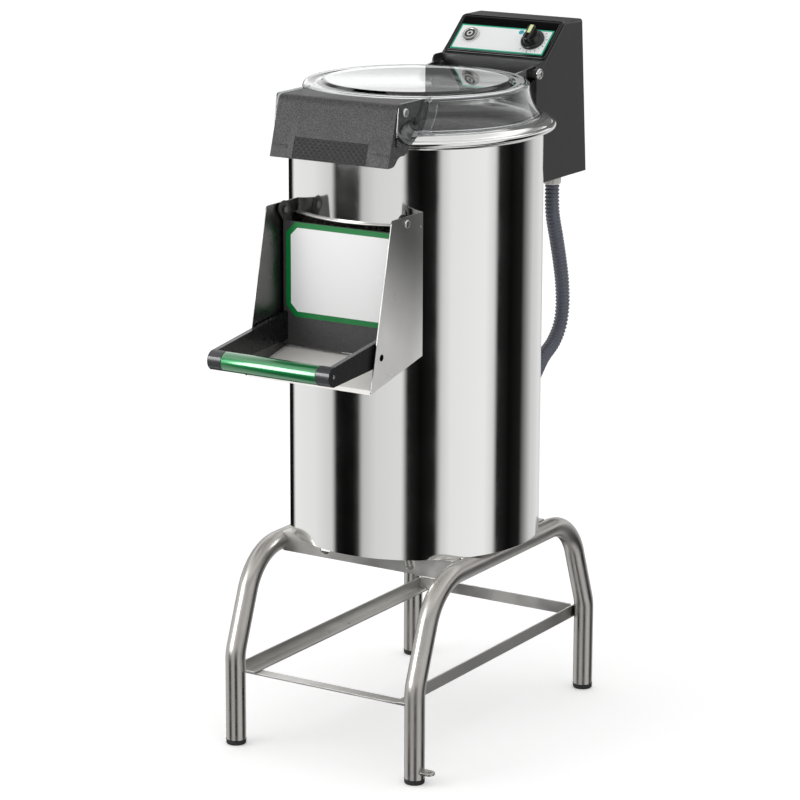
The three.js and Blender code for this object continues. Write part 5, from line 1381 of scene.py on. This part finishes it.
    def timer_knob(self) -> None:
        """Make the skirted knob, its bar of superellipse rings, and the pale pointer let into it."""
        shop, seat, low, high = self.shop, self.on_film(self.knob, 1.0), 2.0, 21.0
        skirt = [(0, -0.4), (19.6, -0.4), (20, 0), (20, 2.4), *arc(17.6, 2.6, 2.4, 0, 80, 6), (15.2, 5.4),
                 (14.4, 6.4), (13.2, 13.0), (12.2, 14.0), (0, 14.0)]
        levels = np.array([low, low + 4, high - 1.4, high - 0.5, high])[:, None]
        inset = np.array([-0.6, 0.0, 0.3, 0.7, 1.4])[:, None]
        turn, power = turns(96).T, 0.5
        x, up = (6.6 - inset) * bulged(np.cos(turn), power), (16.5 - inset) * bulged(np.sin(turn), power)
        knob = [seat.turned(skirt), capped(seat.put(xyz(x, up, levels)))]
        shop.piece("timer_grip", knob, Finishes.knob, "timer_knob", crease=40)
        x, up = np.linspace(-3.1, 3.1, 5)[:, None], np.linspace(-2.0, 15.0, 9)[None]
        pointer = [seat.carry(flat(x, up, high + 0.25, high - 1.2))]
        shop.piece("timer_pointer", pointer, Finishes.pointer, "timer_knob", replaces=False, rounding=0.4)

    def hinge_screws(self) -> None:
        """Make the dished washer and screw at each end of the lid's hinge."""
        shop, cup = self.shop, [(9.2, -0.4), (9.2, 0.8), (8.0, 2.6), (6.6, 2.9), (5.6, 2.2), (5.4, -0.4)]
        for side in RIGHT_FIRST:
            seat, name = side.spot(self.half_width, *self.hinge), side.named("hinge_washer")
            washer = [seat.turned(cup, closed=True)]
            shop.piece(name, washer, Finishes.screw, "control_box", replaces=False, crease=50)
            shop.screw(side.named("box_screw"), seat.moved(0, 0, 1.0), "control_box", 5.5, 3.4, 4.0)

    def cover_screws(self) -> None:
        """Make the four screws of the back cover, square to its slant."""
        (y0, z0), (y1, z1) = self.rear_foot, self.rear_head
        c, s = np.array([z1 - z0, y0 - y1]) / math.hypot(y0 - y1, z1 - z0)
        x, lean, inset = self.half_width - self.cover_inset, (y0 - y1) / (z1 - z0), self.cover_inset
        for row, z in (("low", z0 + inset), ("high", z1 - inset)):
            for side in Side:
                spot, name = (side.value * x, y0 - lean * (z - z0), z), side.named(f"cover_screw_{row}")
                seat = Place(spot, (-1.0, 0.0, 0.0), (0.0, -s, c), (0.0, c, s))
                self.shop.screw(name, seat, "box_back_cover", 4.5, 2.4, 3.0)

    def case_fold(self, a: Array, b: Array) -> Array:
        """Return each edge's share of the rounding.

        Args:
            a: one end [n, 3] of each edge.
            b: the other end.

        Returns:
            1 on the folds round the panel and the top, else 0.
        """
        ends, middle, run = np.stack([a, b]), (a + b) / 2, np.abs(b - a)
        at_head = np.all(np.hypot(*np.moveaxis(ends[..., 1:] - self.panel_head, -1, 0)) < 0.3, axis=0)
        on_side = np.all(np.abs(ends[..., 0]) > self.half_width - 0.2, axis=0) & (a[:, 0] * b[:, 0] > 0)
        level = (run[:, 2] < run[:, 1] * 1.5) & np.all(middle[:, 1:] > self.panel_foot, axis=1)
        return np.where(at_head | (on_side & level), 1.0, 0.0)

    def build(self) -> None:
        """Refine the box and frame, and make the film, prints, button, knob and screws."""
        shop = self.shop
        shop.fold(shop.refine("control_box", Finishes.case, 2.2), 4.5, self.case_fold)
        shop.refine("box_back_cover", Finishes.case, 0.6)
        shop.refine("box_mount", Finishes.plate, 0.5)
        shop.piece("panel_frame", [self.bezel()], Finishes.bezel, "panel_bezel", crease=38)
        shop.piece("panel_film", [self.film()], Finishes.panel, "panel_plate")
        shop.dress(Finishes.arm, "timer_body", "lid_sensor")
        for step in (self.start_button, self.prints, self.timer_knob, self.hinge_screws, self.cover_screws):
            step()


@dataclass
class Conduit(Assembly):
    """Ribbed hose between the box and the drum, and the glands that hold it."""

    radius: float = 12.0
    rib_height: float = 1.6
    pitch: float = 6.2
    rib_steps: int = 8
    x: float = 60.0
    gland_y: float = 331.0
    box_bottom: float = 855.9
    gland_length: float = 20.0
    gland_gap: float = 0.6
    nut_radius: float = 15.5
    nut_height: float = 7.0
    drum_radius: float = 200.0
    entry_x: float = 56.0
    entry_z: float = 508.3
    bulge: float = 41.0
    back_shares: tuple[float, ...] = (0.07, 0.41, 0.73, 0.95, 1.0, 0.8, 0.27, -0.54)
    down_shares: tuple[float, ...] = (0.09, 0.23, 0.37, 0.5, 0.63, 0.73, 0.81, 0.87)

    @property
    def entry(self) -> Place:
        """Find where the hose enters the drum.

        Returns:
            The spot, facing outwards.
        """
        s = self.entry_x / self.drum_radius
        c = math.sqrt(1 - s * s)
        spot = (self.entry_x, self.drum_radius * c, self.entry_z)
        return Place(spot, (-c, s, 0.0), (0.0, 0.0, 1.0), (s, c, 0.0))

    @staticmethod
    def between(at: Array, start: float, end: float, first: Array, second: Array) -> Array:
        """Blend two curves from one knot's time to another's."""
        return ((end - at) * first + (at - start) * second) / (end - start)

    def route(self) -> Array:
        """Return the hose's centre line.

        Returns:
            A centripetal Catmull-Rom curve through the ends, a straight point two radii from each, and points
            that lie a share of the bulge back and a share of the drop down.
        """
        length, straight = self.gland_length + self.gland_gap, 2 * self.radius
        start = np.array([self.x, self.gland_y, self.box_bottom - length])
        end, last = (np.array(self.entry.moved(0, 0, length + more).origin) for more in (0.0, straight))
        drop = start[2] - straight - end[2]
        free = [start + np.array([0.0, back * self.bulge, -straight - down * drop])
                for back, down in zip(self.back_shares, self.down_shares)]
        knots = np.array([start, start - [0, 0, straight], *free, last, end])
        knots = np.vstack([2 * knots[0] - knots[1], knots, 2 * knots[-1] - knots[-2]])
        pieces = []
        for p in zip(knots, knots[1:], knots[2:], knots[3:]):
            t = np.cumsum([0.0] + [np.linalg.norm(p[i + 1] - p[i]) ** 0.5 for i in range(3)])
            at = np.linspace(t[1], t[2], 60, endpoint=False)[:, None]
            a = [self.between(at, t[i], t[i + 1], p[i], p[i + 1]) for i in range(3)]
            b = [self.between(at, t[i], t[i + 2], a[i], a[i + 1]) for i in range(2)]
            pieces.append(self.between(at, t[1], t[2], *b))
        line = np.vstack([*pieces, knots[-2:-1]])
        lengths = np.concatenate([[0], np.cumsum(np.linalg.norm(np.diff(line, axis=0), axis=1))])
        even = np.linspace(0, lengths[-1], int(lengths[-1] / self.pitch) * self.rib_steps + 1)
        return np.stack([np.interp(even, lengths, axis) for axis in line.T], axis=-1)

    def hose(self) -> Surface:
        """Return the ribbed hose.

        Returns:
            A tube whose radius falls by the rib height times a rounded furrow once a pitch.
        """
        path = self.route()
        furrow = np.clip(0.5 + 0.75 * np.cos(np.arange(len(path)) / self.rib_steps * FULL), 0, 1)
        return capped(swept(path, self.radius - self.rib_height * furrow, 40))

    def gland(self, seat: Place) -> list[Surface]:
        """Return one gland: a hexagon nut, and a turned body with furrows that grip a spanner or fingers.

        Args:
            seat: the middle of the wall; out points away from it.

        Returns:
            The nut and the body. The body's radius at angle t dips where cos(12 t) passes 0.4.
        """
        turn, nut, end = turns(144), self.nut_height, self.gland_length
        hexagon = self.nut_radius * math.cos(math.pi / 6) / np.cos(turn % (np.pi / 3) - np.pi / 6)
        dip = 0.9 * (np.cos(12 * turn) > 0.4) * np.array([0, 0, 1, 1, 0, 0, 0])
        body = np.array([0.0, 14.0, 14.5, 14.5, 13.9, 12.9, 0.0]) - dip
        flats = hexagon * np.array([0.0, 0.93, 1.0, 1.0, 0.93, 0.0])
        return [seat.lathe(flats, [0.3, 0.3, 1.2, nut - 0.9, nut, nut]),
                seat.lathe(body, [nut, nut, 8.0, 17.0, 18.6, end, end])]

    def build(self) -> None:
        """Make the hose and its glands, and refine the gland of the supply lead."""
        self.shop.piece("ribbed_hose", [self.hose()], Finishes.hose, "conduit", crease=60)
        down = Place((self.x, self.gland_y, self.box_bottom), up=(0.0, -1.0, 0.0), out=(0.0, 0.0, -1.0))
        self.shop.piece("gland_at_box", self.gland(down), Finishes.gland, "conduit_gland_top")
        self.shop.piece("gland_at_drum", self.gland(self.entry), Finishes.gland, "conduit_gland_bottom")
        self.shop.refine("mains_gland", Finishes.gland, 0.5)


@dataclass
class Studio:
    """Pale floor, soft light, and the surround that polished steel mirrors. Its places are in metres."""

    camera_place: Triple = (2.6342, -4.2572, 1.7793)
    azimuth: float = 31.92
    pitch: float = 13.98
    roll: float = 0.18
    lens: float = 145.74
    target: Triple = (0.0, 0.0, 0.8)
    floor_reach: float = 30.0
    # Flags and soft boxes round the machine: angle from the camera in degrees, and shade.
    boards: tuple[tuple[float, str], ...] = (
        (-180.0, "0c0c0c"), (-152.0, "101010"), (-144.0, "f8f8f8"), (-105.0, "f4f4f4"), (-82.0, "dcdcdc"),
        (-77.0, "1a1a1a"), (-68.0, "0a0a0a"), (-58.0, "0e0e0e"), (-53.5, "3a3a3a"), (-49.0, "cacaca"),
        (-36.0, "e4e4e4"), (-12.0, "ececec"), (-7.5, "222222"), (4.0, "080808"), (18.0, "1c1c1c"),
        (23.0, "dadada"), (32.0, "f6f6f6"), (66.0, "fdfdfd"), (75.5, "e2e2e2"), (80.0, "262626"),
        (95.0, "0b0b0b"), (112.0, "1e1e1e"), (121.0, "989898"), (132.0, "d8d8d8"), (155.0, "ececec"),
        (180.0, "c8c8c8"))
    # The canopy over the machine: height of the direction, from 0 at the level to 1 overhead, and shade.
    sky: tuple[tuple[float, str], ...] = (
        (0.0, "c8c8c8"), (0.2, "f0f0f0"), (0.26, "f8f8f8"), (0.34, "a8a8a8"), (0.5, "808080"),
        (0.62, "ffffff"), (0.72, "ffffff"), (0.84, "d4d4d4"), (1.0, "d0d0d0"))
    sky_strength: float = 1.45

    def camera(self) -> None:
        """Place the camera: forward from azimuth and pitch, then a turn about it by the roll."""
        a, p, r = (math.radians(v) for v in (self.azimuth, self.pitch, self.roll))
        forward = Vector((-math.sin(a) * math.cos(p), math.cos(a) * math.cos(p), -math.sin(p)))
        level = Vector((math.cos(a), math.sin(a), 0.0))
        raised = level.cross(forward)
        right = level * math.cos(r) + raised * math.sin(r)
        up = raised * math.cos(r) - level * math.sin(r)
        data = bpy.data.cameras.new("view")
        data.lens, data.sensor_width, data.clip_end = self.lens, 36.0, 100.0
        eye = in_scene("view", data)
        turned = Matrix((right, up, -forward)).transposed().to_4x4()
        eye.matrix_world = Matrix.Translation(self.camera_place) @ turned
        bpy.context.scene.camera = eye

    def surround(self) -> None:
        """Make the world.

        The camera sees white and matt surfaces get an even light. Glossy surfaces see upright dark and pale
        stretches: the angle round the machine is atan2(direction . right, direction . towards the camera).
        """
        world = bpy.data.worlds.new("studio")
        bpy.context.scene.world = world
        nodes, a, white = Nodes(world, shaded=False), math.radians(self.azimuth), linear("ffffff")
        direction = nodes.add("TexCoord", {}, "Generated")
        right = nodes.reach(direction, (math.cos(a), math.sin(a), 0.0))
        near = nodes.reach(direction, (math.sin(a), -math.cos(a), 0.0))
        height = nodes.reach(direction, (0.0, 0.0, 1.0))
        angle = nodes.maths("ARCTAN2", right, near)
        share = nodes.add("MapRange", {"Value": angle, "From Min": -math.pi, "From Max": math.pi})
        overhead = nodes.add("MapRange", {"Value": height, "From Min": 0.04, "From Max": 0.2})
        bands = nodes.ramp(share, self.boards, -180.0, 180.0)
        canopy = nodes.ramp(height, self.sky, 0.0, 1.0)
        lit = nodes.add("VectorMath", {0: canopy, "Scale": self.sky_strength}, operation="SCALE")
        mirrored = nodes.mix(overhead, bands, lit)
        glossy, plain, seen = (nodes.add("Background", {"Color": colour, "Strength": strength})
                               for colour, strength in ((mirrored, 1.0), (white, 1.0), (white, 0.8)))
        path = nodes.add("LightPath", {}).node.outputs
        for ray, light in (("Glossy", glossy), ("Transmission", plain), ("Camera", plain)):
            seen = nodes.add("MixShader", {0: path[f"Is {ray} Ray"], 1: seen, 2: light})
        nodes.surface("World", seen)

    def lamp(self, name: str, place: Triple, size: float, watts: float) -> None:
        """Hang one soft square lamp, aimed at the machine's middle, which glossy surfaces don't show.

        Args:
            name: its name.
            place: where it hangs.
            size: its width.
            watts: its power.
        """
        data = bpy.data.lights.new(name, "AREA")
        data.shape, data.size, data.size_y, data.energy = "RECTANGLE", size, size, watts
        made = in_scene(name, data)
        made.location = place
        made.rotation_euler = (Vector(self.target) - Vector(place)).to_track_quat("-Z", "Y").to_euler()
        made.visible_glossy = False

    def board(self, name: str, middle: Triple, edge: Triple, half_height: float, shade: str,
              strength: float) -> None:
        """Hang an upright board near the machine that only glossy surfaces show.

        Args:
            name: its name.
            middle: its middle.
            edge: from its middle to the middle of one upright edge.
            half_height: half its height.
            shade: its colour.
            strength: how brightly it glows.
        """
        ways = np.array([(-1, -1), (1, -1), (1, 1), (-1, 1)]) @ np.array([edge, (0.0, 0.0, half_height)])
        mesh, glow = bpy.data.meshes.new(name), bpy.data.materials.new(name)
        mesh.from_pydata(np.array(middle) + ways, [], [(0, 1, 2, 3)])
        nodes = Nodes(glow, shaded=False)
        nodes.surface("Material", nodes.add("Emission", {"Color": linear(shade), "Strength": strength}))
        mesh.materials.append(glow)
        made = in_scene(name, mesh)
        made.visible_camera = made.visible_diffuse = made.visible_shadow = made.visible_transmission = False

    def floor(self) -> None:
        """Lay a pale matt floor, which glossy surfaces don't show."""
        x = np.linspace(-self.floor_reach, self.floor_reach, 3)
        shape = grid(xyz(x[:, None], x[None], -0.0002))
        mesh = bpy.data.meshes.new("floor")
        mesh.from_pydata(shape.points, [], shape.faces)
        mesh.materials.append(Finishes.floor.material())
        made = in_scene("floor", mesh)
        made.visible_glossy = False

    def build(self) -> None:
        """Set the colours' view, then the camera, surround, floor, lamps and boards."""
        bpy.context.scene.view_settings.view_transform = "Standard"
        self.camera()
        self.surround()
        self.floor()
        self.lamp("key_left", (-2.4, -3.0, 3.4), 2.4, 25.0)
        self.lamp("top_soft", (0.2, 0.4, 4.0), 3.0, 10.0)
        self.board("softbox_left", (-1.53, -2.86, 1.45), (0.51, -0.32, 0.0), 0.85, "ffffff", 11.0)
        self.board("softbox_behind", (-1.44, 1.49, 2.06), (0.4, 0.25, 0.0), 0.94, "ffffff", 1.42)
        self.board("flag_behind", (-0.36, 2.165, 2.06), (0.68, 0.425, 0.0), 0.94, "787878", 1.0)
        self.board("flag_over", (-1.03, 0.07, 3.1), (-0.16, 0.78, 0.0), 0.93, "0a0a0a", 1.0)


def main() -> None:
    """Load the frame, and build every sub-assembly."""
    logging.basicConfig(level=logging.INFO, format="%(name)s: %(message)s")
    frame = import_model()
    Studio().build()
    shop = Workshop(frame)
    for part in (Stand, Drum, Chute, Door, Lid, Latch, ControlBox, Conduit):
        part(shop).build()
        log.info("%s done", part.__name__)
    for node, held in frame["nodes"].items():
        if not held.data.materials or not held.data.materials[0].use_nodes:
            log.warning("no finish on %s", node)
    log.info("%d pieces made", shop.made)


if __name__ == "__main__":
    main()
